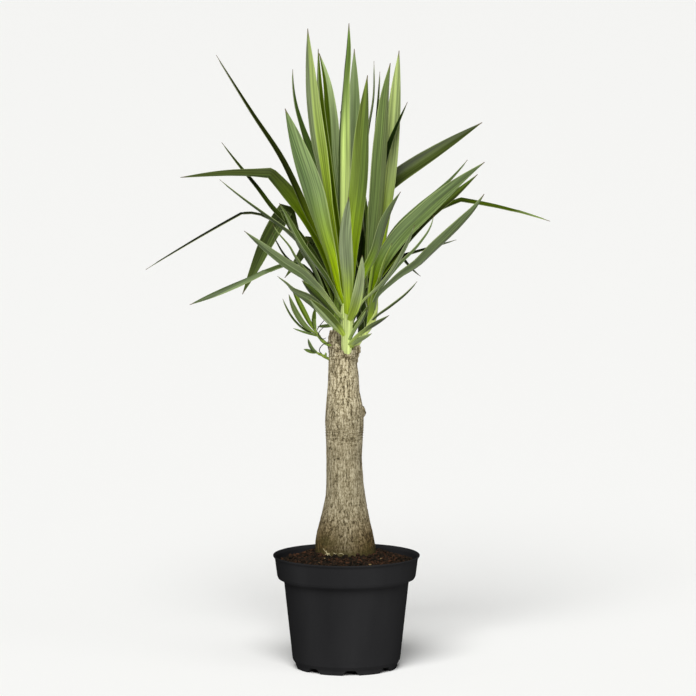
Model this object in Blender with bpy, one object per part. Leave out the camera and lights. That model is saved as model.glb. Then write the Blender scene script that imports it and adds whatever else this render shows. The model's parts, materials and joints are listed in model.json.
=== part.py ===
"""A single-cane yucca in a plain nursery pot.

The pot, the soil, the bark cane, three leafy heads and two small side shoots are separate solids.
Lengths are written in millimetres and turned into metres when a mesh is made.
The pot stands on z = 0 with its axis on the z axis, and the plant's front faces -Y.
"""

import math
from collections import namedtuple

import bmesh
import bpy
from mathutils import Vector, noise

MM = 0.001
GAP = 0.3

# Leaves are laid out as they are seen from the front, in the upright plane through the cane.
# Each is then pushed nearer or further along the line of sight from this eye.
EYE_DISTANCE = 4048
EYE_HEIGHT = 779.5

POT_SIDES = 48
POT_WALL = 1.5
POT_RIM_RADIUS = 85
POT_HEIGHT = 131.5
FOOT_RADIUS = 58.5
FLOOR_LIFT = 6
FOOT_INNER_RADIUS = 41

CHANNELS = 8
CHANNEL_TURN = math.radians(5)
CHANNEL_HEIGHT = 5.8
CHANNEL_TOP_WIDTH = 10
CHANNEL_FOOT_WIDTH = 20
CHANNEL_REACH = (36, 67)
DRAIN_RADIUS = 3.5
DRAIN_FROM_AXIS = 48

SOIL_SIDES = 36
SOIL_BASE = FLOOR_LIFT + POT_WALL + GAP
SOIL_EDGE = 122.5
SOIL_CROWN = 134.5
SOIL_LINE = 130
SOIL_HOLE_RADIUS = 35.5
SOIL_SHARES = (0, 0.2, 0.4, 0.6, 0.8, 1)
SOIL_ROUGHNESS = 1.6
RIM_LEAN = 0.13

CANE_SIDES = 40
CANE_FOOT_HEIGHT = 78
CANE_FOOT_DOME = 2
RIDGE_DEPTH = 0.7
RIDGE_WANDER = 4.5
WANDER_LENGTH = 60
SCAR_SPACING = 9

STEM_SIDES = 10
SPROUT_SIDES = 6
STUB_SIDES = 12
KNOB_SIDES = 8
DRAIN_SIDES = 10
SHARP_EDGE = 60

BLADE_THICKNESS = 0.8
TIP_WIDTH = 1.2
BASE_SHARE = 0.45
CHANNEL_SHARE = 0.15
WIDEST_AT = 0.5
TAPER_POWER = 2.4
TURNED_BY = 0.2
AIM_ABOVE = 40
LONG_BLADE = 110
LONG_STATIONS = (0, 0.12, 0.32, 0.55, 0.75, 0.9, 1)
SHORT_STATIONS = (0, 0.3, 0.65, 0.88, 1)
FOLD_HALF = 0.02
BEFORE_FOLD = (0.3, 0.6, 0.85)
AFTER_FOLD = (0.45, 0.8)


def rgb(code):
    """Linear colour from a six-figure sRGB code."""
    values = [int(code[i:i + 2], 16) / 255 for i in (0, 2, 4)]
    return [v / 12.92 if v <= 0.04045 else ((v + 0.055) / 1.055) ** 2.4 for v in values]


def material(name, code, roughness):
    made = bpy.data.materials.new(name)
    made.use_nodes = True
    shader = made.node_tree.nodes["Principled BSDF"]
    shader.inputs["Base Color"].default_value = (*rgb(code), 1)
    shader.inputs["Roughness"].default_value = roughness
    shader.inputs["Metallic"].default_value = 0
    return made


def solid(name, verts, faces):
    """An object with outward faces from points in millimetres."""
    mesh = bpy.data.meshes.new(name)
    mesh.from_pydata([Vector(v) * MM for v in verts], [], faces)
    shape = bmesh.new()
    shape.from_mesh(mesh)
    bmesh.ops.recalc_face_normals(shape, faces=shape.faces)
    if shape.calc_volume(signed=True) < 0:
        bmesh.ops.reverse_faces(shape, faces=shape.faces)
    shape.to_mesh(mesh)
    shape.free()
    made = bpy.data.objects.new(name, mesh)
    bpy.context.scene.collection.objects.link(made)
    return made


def loft(name, rings, low_tip=None, high_tip=None):
    """A closed skin through equal rings, capped by a fan to a tip or by one flat face."""
    sides = len(rings[0])
    verts = [p for ring in rings for p in ring]
    faces = []
    for r in range(len(rings) - 1):
        for i in range(sides):
            j = (i + 1) % sides
            low, high = r * sides, (r + 1) * sides
            faces.append((low + i, low + j, high + j, high + i))
    for tip, start in ((low_tip, 0), (high_tip, (len(rings) - 1) * sides)):
        if tip is None:
            faces.append(tuple(range(start, start + sides)))
            continue
        verts.append(tip)
        for i in range(sides):
            faces.append((start + i, start + (i + 1) % sides, len(verts) - 1))
    return solid(name, verts, faces)


def circle(centre, radius, sides):
    """A level ring of points."""
    turn = 2 * math.pi / sides
    return [
        Vector(centre) + radius * Vector((math.cos(i * turn), math.sin(i * turn), 0))
        for i in range(sides)
    ]


def tube(name, stations, sides, grow=0.0):
    """A closed tapering stem through (x, y, z, radius) stations, widened by grow."""
    rings = []
    for k, (x, y, z, radius) in enumerate(stations):
        before = Vector(stations[max(k - 1, 0)][:3])
        after = Vector(stations[min(k + 1, len(stations) - 1)][:3])
        along = (after - before).normalized()
        out = along.cross(Vector((0, 1, 0))).normalized()
        over = along.cross(out)
        ring = []
        for i in range(sides):
            turn = 2 * math.pi * i / sides
            spoke = out * math.cos(turn) + over * math.sin(turn)
            ring.append(Vector((x, y, z)) + (radius + grow) * spoke)
        rings.append(ring)
    return loft(name, rings)


def combine(target, others, operation, solver="MANIFOLD"):
    """Joins or cuts the target with all the others at once, and removes them."""
    group = bpy.data.collections.new("combine")
    bpy.context.scene.collection.children.link(group)
    for other in others:
        for owner in list(other.users_collection):
            owner.objects.unlink(other)
        group.objects.link(other)
    step = target.modifiers.new("combine", "BOOLEAN")
    step.operation = operation
    step.solver = solver
    step.operand_type = "COLLECTION"
    step.collection = group
    bpy.context.view_layer.update()
    view = bpy.context.evaluated_depsgraph_get()
    finished = bpy.data.meshes.new_from_object(target.evaluated_get(view))
    target.modifiers.clear()
    target.data = finished
    for other in list(group.objects):
        bpy.data.objects.remove(other)
    bpy.data.collections.remove(group)
    return target


def keep_largest(made):
    """Fills a hollow sealed by the joining and drops a loose scrap: both are skins of their own."""
    shape = bmesh.new()
    shape.from_mesh(made.data)
    left = set(shape.verts)
    skins = []
    while left:
        front = [left.pop()]
        skin = list(front)
        while front:
            for edge in front.pop().link_edges:
                for vert in edge.verts:
                    if vert in left:
                        left.remove(vert)
                        front.append(vert)
                        skin.append(vert)
        skins.append(skin)
    skins.sort(key=len)
    for skin in skins[:-1]:
        bmesh.ops.delete(shape, geom=skin, context="VERTS")
    shape.to_mesh(made.data)
    shape.free()


def finish(made, skin, sharp=35):
    """Gives a solid its material and its smooth shading."""
    made.data.materials.clear()
    made.data.materials.append(skin)
    made.data.shade_smooth()
    made.data.set_sharp_from_angle(angle=math.radians(sharp))
    return made


# The pot: a thin moulded wall with a wide rim band, a raised floor and channels under its foot.

def pot_outline():
    """(radius, height) round the wall, up the outside and down the inside."""
    outside = [
        (FOOT_RADIUS, 0),
        (FOOT_RADIUS + 0.7, 5),
        (62.4, 10),
        (72.3, 101.5),
        (74.8, 102.5),
        (79, 104.5),
        (80.2, 107.5),
        (82.8, 127.5),
        (POT_RIM_RADIUS - 0.5, 129.5),
        (POT_RIM_RADIUS, 130.7),
        (POT_RIM_RADIUS - 0.6, POT_HEIGHT),
    ]
    inside = [
        (82.8, 130.9),
        (81.2, 128),
        (78.6, 107.8),
        (77.6, 106),
        (73.6, 104.1),
        (70.8, 102.1),
        (60.8, 10.5),
        (57.2, 5.4),
        (56.8, POT_WALL),
        (FOOT_INNER_RADIUS - 1.5, POT_WALL),
        (FOOT_INNER_RADIUS - 4.5, FLOOR_LIFT + POT_WALL),
    ]
    return outside, inside


def make_pot(skin):
    outside, inside = pot_outline()
    under = [(FOOT_INNER_RADIUS - 3, FLOOR_LIFT), (FOOT_INNER_RADIUS, 0)]
    outline = under + outside + inside
    rings = [circle((0, 0, z), r, POT_SIDES) for r, z in outline]
    middle_low = Vector((0, 0, FLOOR_LIFT))
    middle_high = Vector((0, 0, FLOOR_LIFT + POT_WALL))
    pot = loft("pot", rings, middle_low, middle_high)
    start, end = CHANNEL_REACH
    hoods = [channel_prism(c, POT_WALL, start + 2.5, FOOT_RADIUS - POT_WALL) for c in range(CHANNELS)]
    combine(pot, hoods, "UNION")
    combine(pot, [channel_prism(c, 0, start, end) for c in range(CHANNELS)], "DIFFERENCE")
    combine(pot, [drain_drill(c) for c in range(CHANNELS)], "DIFFERENCE")
    return finish(pot, skin)


def channel_turn(number):
    return number * 2 * math.pi / CHANNELS + CHANNEL_TURN - math.pi / 2


def channel_prism(number, wall, start, end):
    """One drainage channel's slanted space under the foot, or its walls where wall is more than 0."""
    turn = channel_turn(number)
    along = Vector((math.cos(turn), math.sin(turn), 0))
    side = Vector((-math.sin(turn), math.cos(turn), 0))
    low = 0 if wall else -1
    high = CHANNEL_HEIGHT + wall
    spread = (CHANNEL_FOOT_WIDTH - CHANNEL_TOP_WIDTH) / 2 / CHANNEL_HEIGHT
    low_half = CHANNEL_FOOT_WIDTH / 2 - spread * low + wall
    top_half = CHANNEL_TOP_WIDTH / 2 + wall
    section = [(-low_half, low), (low_half, low), (top_half, high), (-top_half, high)]
    rings = [[along * r + side * s + Vector((0, 0, z)) for s, z in section] for r in (start, end)]
    return loft("channel", rings)


def drain_drill(number):
    """The drill for one drain hole through a channel's ceiling."""
    turn = channel_turn(number)
    centre = (DRAIN_FROM_AXIS * math.cos(turn), DRAIN_FROM_AXIS * math.sin(turn))
    ends = (CHANNEL_HEIGHT - 2, CHANNEL_HEIGHT + 4)
    rings = [circle((*centre, z), DRAIN_RADIUS, DRAIN_SIDES) for z in ends]
    return loft("drain", rings)


# The cane: (height, radius, centre to the right) from the buried foot to the cut top.

CANE = [
    (CANE_FOOT_HEIGHT, 17, -1),
    (80, 23.5, -1),
    (90, 29, -1),
    (109, 33, -1),
    (128, 35, -1),
    (138, 34.7, -1.1),
    (148, 33.8, -1.8),
    (160, 31.4, -1.9),
    (173, 28.2, -1.7),
    (186, 25.3, -1.4),
    (199, 23, -1.3),
    (214, 21.4, -1.7),
    (229, 20.7, -2.2),
    (245, 20.3, -2.8),
    (260, 20.8, -2.4),
    (275, 21.5, -2.3),
    (288, 22, -2.3),
    (300, 21.4, -2.2),
    (312, 19.8, -2.9),
    (326, 18, -3.4),
    (340, 17.3, -3.5),
    (353, 16.3, -4.2),
    (363, 16.4, -3.6),
    (371, 16.3, -3.4),
]
CANE_CENTRE = -1
CANE_TOP_SLOPE = (-0.22, 0.28)
CANE_TOP_DOME = 4
CANE_TOP_STEP = 1.6
CANE_TOP_SHARE = 0.45
RIDGES = 13
FINE_RIDGES = 21
BARK_START = 12


def ridge(turn, height):
    """How far the furrowed bark stands proud, with ridges that wander and fork."""
    wander = RIDGE_WANDER * noise.noise(Vector((height / WANDER_LENGTH, 0, 5)))
    coarse = math.sin(RIDGES * turn + wander)
    fine = math.sin(FINE_RIDGES * turn - wander + height / 31)
    scars = noise.noise(Vector((math.cos(turn), math.sin(turn), height / SCAR_SPACING)))
    return RIDGE_DEPTH * (0.6 * coarse + 0.4 * fine + 0.5 * scars)


def cane_ring(height, radius, centre, grow=0.0):
    """One level ring of the cane: plain below the soil, furrowed above it."""
    rough = min(max((height - SOIL_LINE) / BARK_START, 0), 1)
    ring = []
    for i in range(CANE_SIDES):
        turn = 2 * math.pi * i / CANE_SIDES
        reach = radius + grow + rough * ridge(turn, height)
        ring.append(Vector((centre + reach * math.cos(turn), reach * math.sin(turn), height)))
    return ring


def make_cane(skin, sockets):
    rings = [cane_ring(*station) for station in CANE]
    slope_x, slope_y = CANE_TOP_SLOPE
    height, _, centre = CANE[-1]
    for point in rings[-1]:
        point.z += slope_x * (point.x - centre) + slope_y * point.y
    high_tip = Vector((centre, 0, height + CANE_TOP_DOME))
    inner = [p.lerp(high_tip, CANE_TOP_SHARE) + Vector((0, 0, CANE_TOP_STEP)) for p in rings[-1]]
    rings.append(inner)
    low_tip = Vector((CANE_CENTRE, 0, CANE_FOOT_HEIGHT - CANE_FOOT_DOME))
    cane = loft("cane", rings, low_tip, high_tip)
    stub = tube("stub", BARK_STUB, STUB_SIDES)
    knobs = [tube("knob", stations, KNOB_SIDES) for stations in BARK_KNOBS]
    combine(cane, [stub, *knobs], "UNION", "EXACT")
    combine(cane, sockets, "DIFFERENCE", "EXACT")
    return finish(cane, skin, SHARP_EDGE)


# Stations are (x, y, z, radius).
BARK_STUB = [
    (-10, 5, 353, 7),
    (-13.3, 5.5, 371, 8),
    (-13.3, 6, 381, 7.4),
    (-13, 7, 391, 6.2),
]
BARK_KNOBS = [
    [(8, 0, 356, 5), (10, -2, 363, 4.6), (12, -3, 370, 4.5), (11.5, -3, 374, 2.8)],
    [(12, -2, 297, 5), (18, -2, 298.5, 4), (22.4, -2, 300, 2)],
    [(-8, -9, 367, 5), (-11, -9, 372, 4.6), (-12, -8.5, 377, 2.6)],
]


# The soil: a filled solid with a rough mound, and a plain hole where the cane's foot sits.

def soil_height(point, share):
    """Height of the soil from the wall, share 0, to the cane, share 1."""
    rise = SOIL_EDGE + (SOIL_CROWN - SOIL_EDGE) * (3 * share ** 2 - 2 * share ** 3)
    clods = noise.noise(Vector((point.x / 9, point.y / 9, 2)))
    crumbs = noise.noise(Vector((point.x / 4, point.y / 4, 8)))
    return rise + SOIL_ROUGHNESS * (clods + 0.7 * crumbs)


def make_soil(skin):
    _, inside = pot_outline()
    wall = [(r - GAP, z) for r, z in inside if SOIL_BASE < z < SOIL_EDGE]
    wall.sort(key=lambda station: station[1])
    rings = [circle((0, 0, SOIL_BASE), wall[0][0] - 2 * POT_WALL, SOIL_SIDES)]
    rings += [circle((0, 0, z), r, SOIL_SIDES) for r, z in wall]
    edge_radius = wall[-1][0] + (SOIL_EDGE - wall[-1][1]) * RIM_LEAN - GAP
    hole = [cane_ring(h, r, c, GAP) for h, r, c in CANE if h <= SOIL_LINE]
    hole.append(cane_ring(SOIL_LINE, SOIL_HOLE_RADIUS, CANE_CENTRE, GAP))
    edge = circle((0, 0, SOIL_EDGE), edge_radius, SOIL_SIDES)
    mouth = circle((CANE_CENTRE, 0, SOIL_LINE), SOIL_HOLE_RADIUS + GAP, SOIL_SIDES)
    for share in SOIL_SHARES:
        ring = [outer.lerp(inner, share) for outer, inner in zip(edge, mouth)]
        for point in ring:
            point.z = soil_height(point, share)
        rings.append(ring)
    rings += [circle((c, 0, h), r + GAP, SOIL_SIDES) for h, r, c in reversed(CANE) if h <= SOIL_LINE]
    low = Vector((0, 0, SOIL_BASE))
    high = Vector((CANE_CENTRE, 0, CANE_FOOT_HEIGHT - CANE_FOOT_DOME - GAP))
    return finish(loft("soil", rings, low, high), skin, SHARP_EDGE)


# Leaves: each is one thin folded blade on a smooth line through its points.
# root: height at which it leaves its stem.  back: how far its tip is behind the plane of the cane.
# wide: full width.  shown: width seen from the front, or None where it just faces its stem.
# line: (right, up) points as seen from the front.  kink: the point where the blade is folded over.
# tip_shown: width seen towards the tip, where the blade twists on its way.

Leaf = namedtuple("Leaf", "root back wide shown line kink tip_shown", defaults=(None, None))

FRONT_STEM = [
    (-2, -8, 355, 4.6),
    (-1.5, -12, 367, 5.2),
    (-1, -15, 383, 6),
    (0, -16.5, 403, 6.6),
    (1, -17.5, 425, 5),
    (1, -18, 447, 2.2),
]
FRONT_LEAVES = [
    Leaf(398, -85, 26, 24, [(-15, 460), (-35, 540), (-54, 600), (-70, 646)]),
    Leaf(410, -45, 22, 19, [(-9, 470), (-25, 575), (-37, 650), (-41, 694), (-44, 737)]),
    Leaf(412, -30, 16, 9, [(-7, 489), (-19, 575), (-28, 645), (-32, 714)]),
    Leaf(415, -50, 20, 16, [(-2, 500), (-2, 580), (1, 645), (3, 700), (3, 743)]),
    Leaf(408, -78, 21, 19, [(5, 489), (13, 560), (18, 625), (24, 684)]),
    Leaf(396, -165, 17, 15, [(0, 430), (0, 495), (3, 545)]),
    Leaf(386, -110, 14, 12, [(7, 410), (13, 432), (17, 455), (18, 478)]),
    Leaf(388, -140, 15, 12, [(-20, 421), (-45, 449), (-75, 474), (-117, 506)]),
    Leaf(380, -60, 15, 14, [(-18, 403), (-41, 426), (-58, 437), (-79, 454)], tip_shown=3),
    Leaf(374, -50, 12, 10, [(-10, 391), (-24, 408), (-42, 428)]),
    Leaf(385, -75, 8, 3.5, [(-14, 417), (-40, 449), (-60, 478), (-70, 494), (-84, 513)]),
    Leaf(392, -35, 14, 9, [(-15, 426), (-44, 474), (-65, 515), (-77, 538)]),
    Leaf(384, -130, 11, 7, [(18, 420), (34, 438), (53, 460), (67, 484), (78, 513)]),
    Leaf(376, -55, 7, 5, [(9, 392), (23, 415)]),
    Leaf(370, -40, 8, 5.5, [(12, 379), (29, 388)]),
    Leaf(373, -45, 9, 5, [(14, 387), (31, 399), (49, 409)]),
    Leaf(400, -62, 15, 12, [(17, 440), (30, 480), (44, 519), (62, 551)]),
]

RIGHT_STEM = [
    (7, 3, 363, 4),
    (12, 3, 377, 4.4),
    (19, 3, 388, 4.8),
    (26, 4, 398, 5.4),
    (30, 4, 412, 6),
    (31, 5, 432, 5),
    (31, 6, 454, 2.2),
]
RIGHT_LEAVES = [
    Leaf(425, 5, 24, 20, [(30, 478), (35, 541), (41, 620), (44, 664), (50, 698)]),
    Leaf(428, 42, 20, 18, [(38, 495), (47, 560), (53, 620), (57, 665), (60, 712)]),
    Leaf(426, 24, 12, 5, [(36, 510), (46, 583), (57, 621), (70, 653)]),
    Leaf(424, 75, 20, 18, [(33, 490), (44, 547), (62, 572), (100, 596), (155, 630)]),
    Leaf(415, 34, 12, 5, [(36, 463), (70, 513), (115, 559), (138, 586)]),
    Leaf(412, -8, 20, 15, [(34, 462), (56, 499), (85, 528), (120, 556), (158, 585)]),
    Leaf(410, 26, 18, 12, [(34, 445), (60, 484), (95, 524), (125, 548), (150, 571)]),
    Leaf(405, 50, 12, 5, [(33, 440), (60, 484), (100, 527), (131, 541), (180, 531), (233, 516)], 4),
    Leaf(398, -28, 18, 4, [(34, 429), (55, 449), (78, 466), (105, 490), (158, 547)], tip_shown=18),
    Leaf(400, 45, 8, 3, [(34, 437), (51, 464), (67, 479), (95, 487), (126, 496)], 3),
    Leaf(398, 60, 9, 4, [(34, 443), (50, 468), (65, 475), (75, 463), (85, 454)], 3),
    Leaf(394, -40, 7, 3, [(33, 430), (58, 463), (85, 491), (97, 509), (101, 524)]),
    Leaf(386, -8, 6, 2.5, [(32, 405), (50, 418), (70, 434), (81, 448)]),
    Leaf(392, -16, 14, 11, [(29, 412), (33, 432), (42, 456)]),
    Leaf(428, 60, 9, 2, [(24, 480), (20, 560), (25, 618), (32, 660), (32, 700)]),
    Leaf(424, 48, 11, 4, [(29, 480), (30, 560), (34, 625), (38, 688)]),
    Leaf(430, 38, 18, 14, [(17, 470), (12, 600), (11, 660), (9, 714)]),
    Leaf(426, 130, 20, None, [(34, 500), (44, 590)]),
    Leaf(414, 165, 18, None, [(42, 474), (78, 518)]),
    Leaf(406, 150, 16, 10, [(38, 462), (62, 494)]),
    Leaf(400, 125, 14, 8, [(34, 444), (45, 472)]),
    Leaf(412, 165, 18, None, [(34, 476), (48, 484)]),
]

LEFT_STEM = [
    (-12, 6.6, 383, 4),
    (-11.5, 7.5, 393, 4.6),
    (-10, 9, 410, 6),
    (-8, 10, 432, 5),
    (-7, 11, 454, 2.2),
]
LEFT_LEAVES = [
    Leaf(425, 16, 12, 10, [(-20, 480), (-52, 548), (-72, 583), (-108, 641), (-148, 707)], tip_shown=3),
    Leaf(420, 38, 18, 16, [(-25, 480), (-45, 519), (-64, 544), (-88, 572), (-130, 572), (-190, 568)], 4,
         tip_shown=8),
    Leaf(410, 50, 10, 6, [(-24, 450), (-57, 491), (-85, 532), (-113, 569), (-143, 607)]),
    Leaf(406, 14, 7, 3, [(-26, 458), (-60, 500), (-90, 523), (-145, 565)]),
    Leaf(402, 24, 7, 2.5, [(-27, 454), (-62, 500), (-88, 521), (-102, 527), (-119, 527), (-160, 503),
         (-230, 462)], 5),
    Leaf(408, 66, 19, 17.5, [(-30, 452), (-48, 482), (-61, 508), (-71, 532), (-89, 501), (-104, 464),
         (-119, 433)], 4),
    Leaf(404, 58, 14, 12.5, [(-24, 460), (-34, 483), (-42, 498), (-55, 474), (-71, 452)], 3),
    Leaf(398, 8, 12, 1.5, [(-24, 437), (-40, 459), (-56, 468), (-80, 464), (-120, 446), (-180, 421)],
         tip_shown=12),
    Leaf(428, 46, 22, 4, [(-8, 478), (-5, 540), (-9, 585), (-15, 635), (-23, 683), (-31, 709)],
         tip_shown=20),
    Leaf(424, 26, 16, 15, [(-12, 490), (-28, 560), (-41, 598), (-53, 635), (-61, 691)], tip_shown=3),
    Leaf(426, 30, 12, 6, [(-6, 480), (-4, 560), (-7, 643)]),
    Leaf(406, 15, 14, 10, [(-17, 428), (-30, 463), (-42, 495)]),
    Leaf(400, 5, 12, 8, [(-20, 418), (-36, 434), (-51, 449)]),
    Leaf(398, 4, 6, 4, [(-22, 397), (-33, 396)]),
    Leaf(424, 130, 20, None, [(9, 468), (14, 575)]),
    Leaf(426, 140, 15, None, [(-16, 490), (-26, 565)]),
    Leaf(418, 160, 18, None, [(-24, 485), (-42, 555)]),
    Leaf(408, 165, 10, 6, [(-36, 470), (-62, 505)]),
    Leaf(402, 150, 12, None, [(-28, 430), (-58, 462)]),
    Leaf(410, 165, 16, None, [(-20, 474), (-27, 482)]),
    Leaf(398, 115, 11, None, [(-26, 420), (-46, 430)]),
]

UPPER_SPROUT_STEM = [
    (-14, -1, 371, 1.7),
    (-21, -1, 375, 1.8),
    (-28, -1, 380, 2),
    (-33, -1.5, 387, 1.8),
    (-37, -2, 393, 1.2),
]
UPPER_SPROUT_LEAVES = [
    Leaf(386, -4, 5, 2, [(-47, 392), (-60, 404), (-73, 428)]),
    Leaf(388, -12, 8, 6.5, [(-43, 393), (-57, 411), (-66, 433)]),
    Leaf(390, 6, 8, 6, [(-40, 397), (-48, 412), (-63, 442)]),
    Leaf(389, -2, 6, 5, [(-37, 399), (-36, 418)]),
    Leaf(385, -9, 4, 2, [(-43, 388), (-61, 394)]),
]

LOWER_SPROUT_STEM = [
    (-14, -2, 355, 1.5),
    (-20, -2, 358.5, 1.6),
    (-28, -3, 363, 1.7),
    (-35, -4, 367, 1.2),
]
LOWER_SPROUT_LEAVES = [
    Leaf(365, -8, 5, 4, [(-38, 369), (-44, 382)]),
    Leaf(366, -5, 5, 4, [(-40, 367), (-49, 370)]),
    Leaf(361, -4, 3, 2.5, [(-24, 363), (-24, 366)]),
]


def seen(right, up, back):
    """A point laid out as seen from the front, pushed back along the line of sight."""
    far = 1 + back / EYE_DISTANCE
    return Vector((right * far, back, EYE_HEIGHT + (up - EYE_HEIGHT) * far))


def on_stem(stem, height):
    """The point inside a stem at a height."""
    for low, high in zip(stem, stem[1:]):
        if height <= high[2]:
            share = max((height - low[2]) / (high[2] - low[2]), 0)
            return Vector(low[:3]).lerp(Vector(high[:3]), share)
    return Vector(stem[-1][:3])


def rounded(points, pieces=8):
    """A smooth line through the points, by cubic pieces with even slopes."""
    chords = [(b - a).length for a, b in zip(points, points[1:])]
    slopes = [(b - a) / c for a, b, c in zip(points, points[1:], chords)]
    inner = [(slopes[i] * chords[i + 1] + slopes[i + 1] * chords[i]) / (chords[i] + chords[i + 1])
             for i in range(len(slopes) - 1)]
    if not inner:
        return list(points)
    slopes = [slopes[0] * 1.5 - inner[0] * 0.5, *inner, slopes[-1] * 1.5 - inner[-1] * 0.5]
    line = [points[0]]
    for i, chord in enumerate(chords):
        for k in range(1, pieces + 1):
            t = k / pieces
            place = points[i].lerp(points[i + 1], 3 * t ** 2 - 2 * t ** 3)
            leaving = slopes[i] * chord * (t ** 3 - 2 * t ** 2 + t)
            arriving = slopes[i + 1] * chord * (t ** 3 - t ** 2)
            line.append(place + leaving + arriving)
    return line


def leaf_line(leaf, stem):
    """The blade's middle line from inside its stem to its tip, and the share at which it is folded."""
    root = on_stem(stem, leaf.root)
    flat = [Vector((root.x, root.z))] + [Vector(p) for p in leaf.line]
    reach = [0.0]
    for a, b in zip(flat, flat[1:]):
        reach.append(reach[-1] + (b - a).length)
    points = [root]
    for (right, up), far in zip(leaf.line, reach[1:]):
        points.append(seen(right, up, root.y + (leaf.back - root.y) * far / reach[-1]))
    if leaf.kink is None:
        return rounded(points), None
    before = rounded(points[:leaf.kink + 1])
    line = before + rounded(points[leaf.kink:])[1:]
    lengths = [(b - a).length for a, b in zip(line, line[1:])]
    return line, sum(lengths[:len(before) - 1]) / sum(lengths)


def station(line, share):
    """Place and direction at a share of a line's length."""
    lengths = [(b - a).length for a, b in zip(line, line[1:])]
    left = share * sum(lengths)
    for a, b, length in zip(line, line[1:], lengths):
        if left <= length:
            return a.lerp(b, left / length), (b - a).normalized()
        left -= length
    return line[-1].copy(), (line[-1] - line[-2]).normalized()


def width_share(share):
    """A blade's outline: a narrow base, its widest part half way, and a long point."""
    if share < WIDEST_AT:
        return BASE_SHARE + (1 - BASE_SHARE) * math.sin(math.pi / 2 * share / WIDEST_AT)
    return 1 - ((share - WIDEST_AT) / (1 - WIDEST_AT)) ** TAPER_POWER


def blade_sides(leaf, middle, along, share, stem):
    """Unit vectors across the blade and out of its upper face."""
    inward = Vector((on_stem(stem, middle.z).x, stem[-1][1], middle.z + AIM_ABOVE)) - middle
    natural = along.cross(inward).normalized()
    across = natural
    if leaf.shown is not None:
        to_eye = (Vector((0, -EYE_DISTANCE, EYE_HEIGHT)) - middle).normalized()
        flat = along.cross(to_eye).normalized()
        deep = along.cross(flat)
        shown = leaf.shown if leaf.tip_shown is None else leaf.shown + (leaf.tip_shown - leaf.shown) * share
        turn = math.acos(min(shown / leaf.wide, 1))
        choices = [flat * math.cos(turn) + deep * math.sin(turn) * s for s in (1, -1)]
        choices += [-c for c in choices]
        turned = max(choices, key=lambda c: c.dot(natural))
        across = natural.lerp(turned, min(share / TURNED_BY, 1)).normalized()
    upper = across.cross(along).normalized()
    if upper.dot(inward) < 0:
        upper = -upper
    return across, upper


def make_blade(leaf, stem):
    """A folded blade: two flat halves that meet at a sunk midrib, alike on both faces."""
    line, fold = leaf_line(leaf, stem)
    length = sum((b - a).length for a, b in zip(line, line[1:]))
    shares = list(LONG_STATIONS if length > LONG_BLADE else SHORT_STATIONS)
    if fold:
        shares = [0, *(s * fold for s in BEFORE_FOLD), fold - FOLD_HALF, fold + FOLD_HALF]
        shares += [fold + s * (1 - fold) for s in AFTER_FOLD] + [1]
    rings = []
    for share in shares:
        middle, along = station(line, share)
        across, upper = blade_sides(leaf, middle, along, share, stem)
        half = max(leaf.wide * width_share(share), TIP_WIDTH) / 2
        sunk = 2 * half * CHANNEL_SHARE
        top = [middle - across * half, middle - upper * sunk, middle + across * half]
        under = [p - upper * BLADE_THICKNESS for p in top]
        rings.append(top + under[::-1])
    verts = [p for ring in rings for p in ring]
    faces = [(0, 1, 2, 3, 4, 5)]
    for r in range(len(rings) - 1):
        a, b = r * 6, r * 6 + 6
        for i, j in ((0, 1), (1, 2)):
            m, n = 5 - i, 5 - j
            faces += [(a + i, a + j, b + j), (a + i, b + j, b + i)]
            faces += [(a + m, b + n, a + n), (a + m, b + m, b + n)]
        faces += [(a + 2, a + 3, b + 3, b + 2), (a + 5, a, b, b + 5)]
    last = len(verts) - 6
    faces.append(tuple(last + i for i in range(6)))
    return solid("blade", verts, faces)


def make_head(name, stem, leaves, skin, sides=STEM_SIDES):
    """A leafy head: its stem and all its blades as one solid."""
    head = tube(name, stem, sides)
    combine(head, [make_blade(leaf, stem) for leaf in leaves], "UNION")
    keep_largest(head)
    return finish(head, skin, SHARP_EDGE)


def make_plant():
    leaf_skin = material("leaf_green", "6f8446", 0.45)
    left_skin = material("leaf_deep_green", "5a6f3a", 0.45)
    right_skin = material("leaf_blue_green", "66793f", 0.45)
    sprout_skin = material("sprout_green", "7d9350", 0.5)
    lower_skin = material("sprout_pale_green", "87994f", 0.5)
    stems = {"front": FRONT_STEM, "right": RIGHT_STEM, "left": LEFT_STEM}
    sprouts = {"upper": UPPER_SPROUT_STEM, "lower": LOWER_SPROUT_STEM}
    sockets = [tube("socket", stem, STEM_SIDES, GAP) for stem in stems.values()]
    sockets += [tube("socket", stem, SPROUT_SIDES, GAP) for stem in sprouts.values()]
    make_cane(material("bark", "a89b7c", 0.9), sockets)
    make_head("head_front", FRONT_STEM, FRONT_LEAVES, leaf_skin)
    make_head("head_right", RIGHT_STEM, RIGHT_LEAVES, right_skin)
    make_head("head_left", LEFT_STEM, LEFT_LEAVES, left_skin)
    make_head("sprout_upper", UPPER_SPROUT_STEM, UPPER_SPROUT_LEAVES, sprout_skin, SPROUT_SIDES)
    make_head("sprout_lower", LOWER_SPROUT_STEM, LOWER_SPROUT_LEAVES, lower_skin, SPROUT_SIDES)


def main():
    for old in list(bpy.data.objects):
        bpy.data.objects.remove(old)
    make_pot(material("black_polypropylene", "1c1c1c", 0.45))
    make_soil(material("potting_soil", "392b1a", 0.95))
    make_plant()


main()
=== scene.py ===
import json
import math
import random

import bmesh
import bpy
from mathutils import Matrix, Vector, noise

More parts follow.
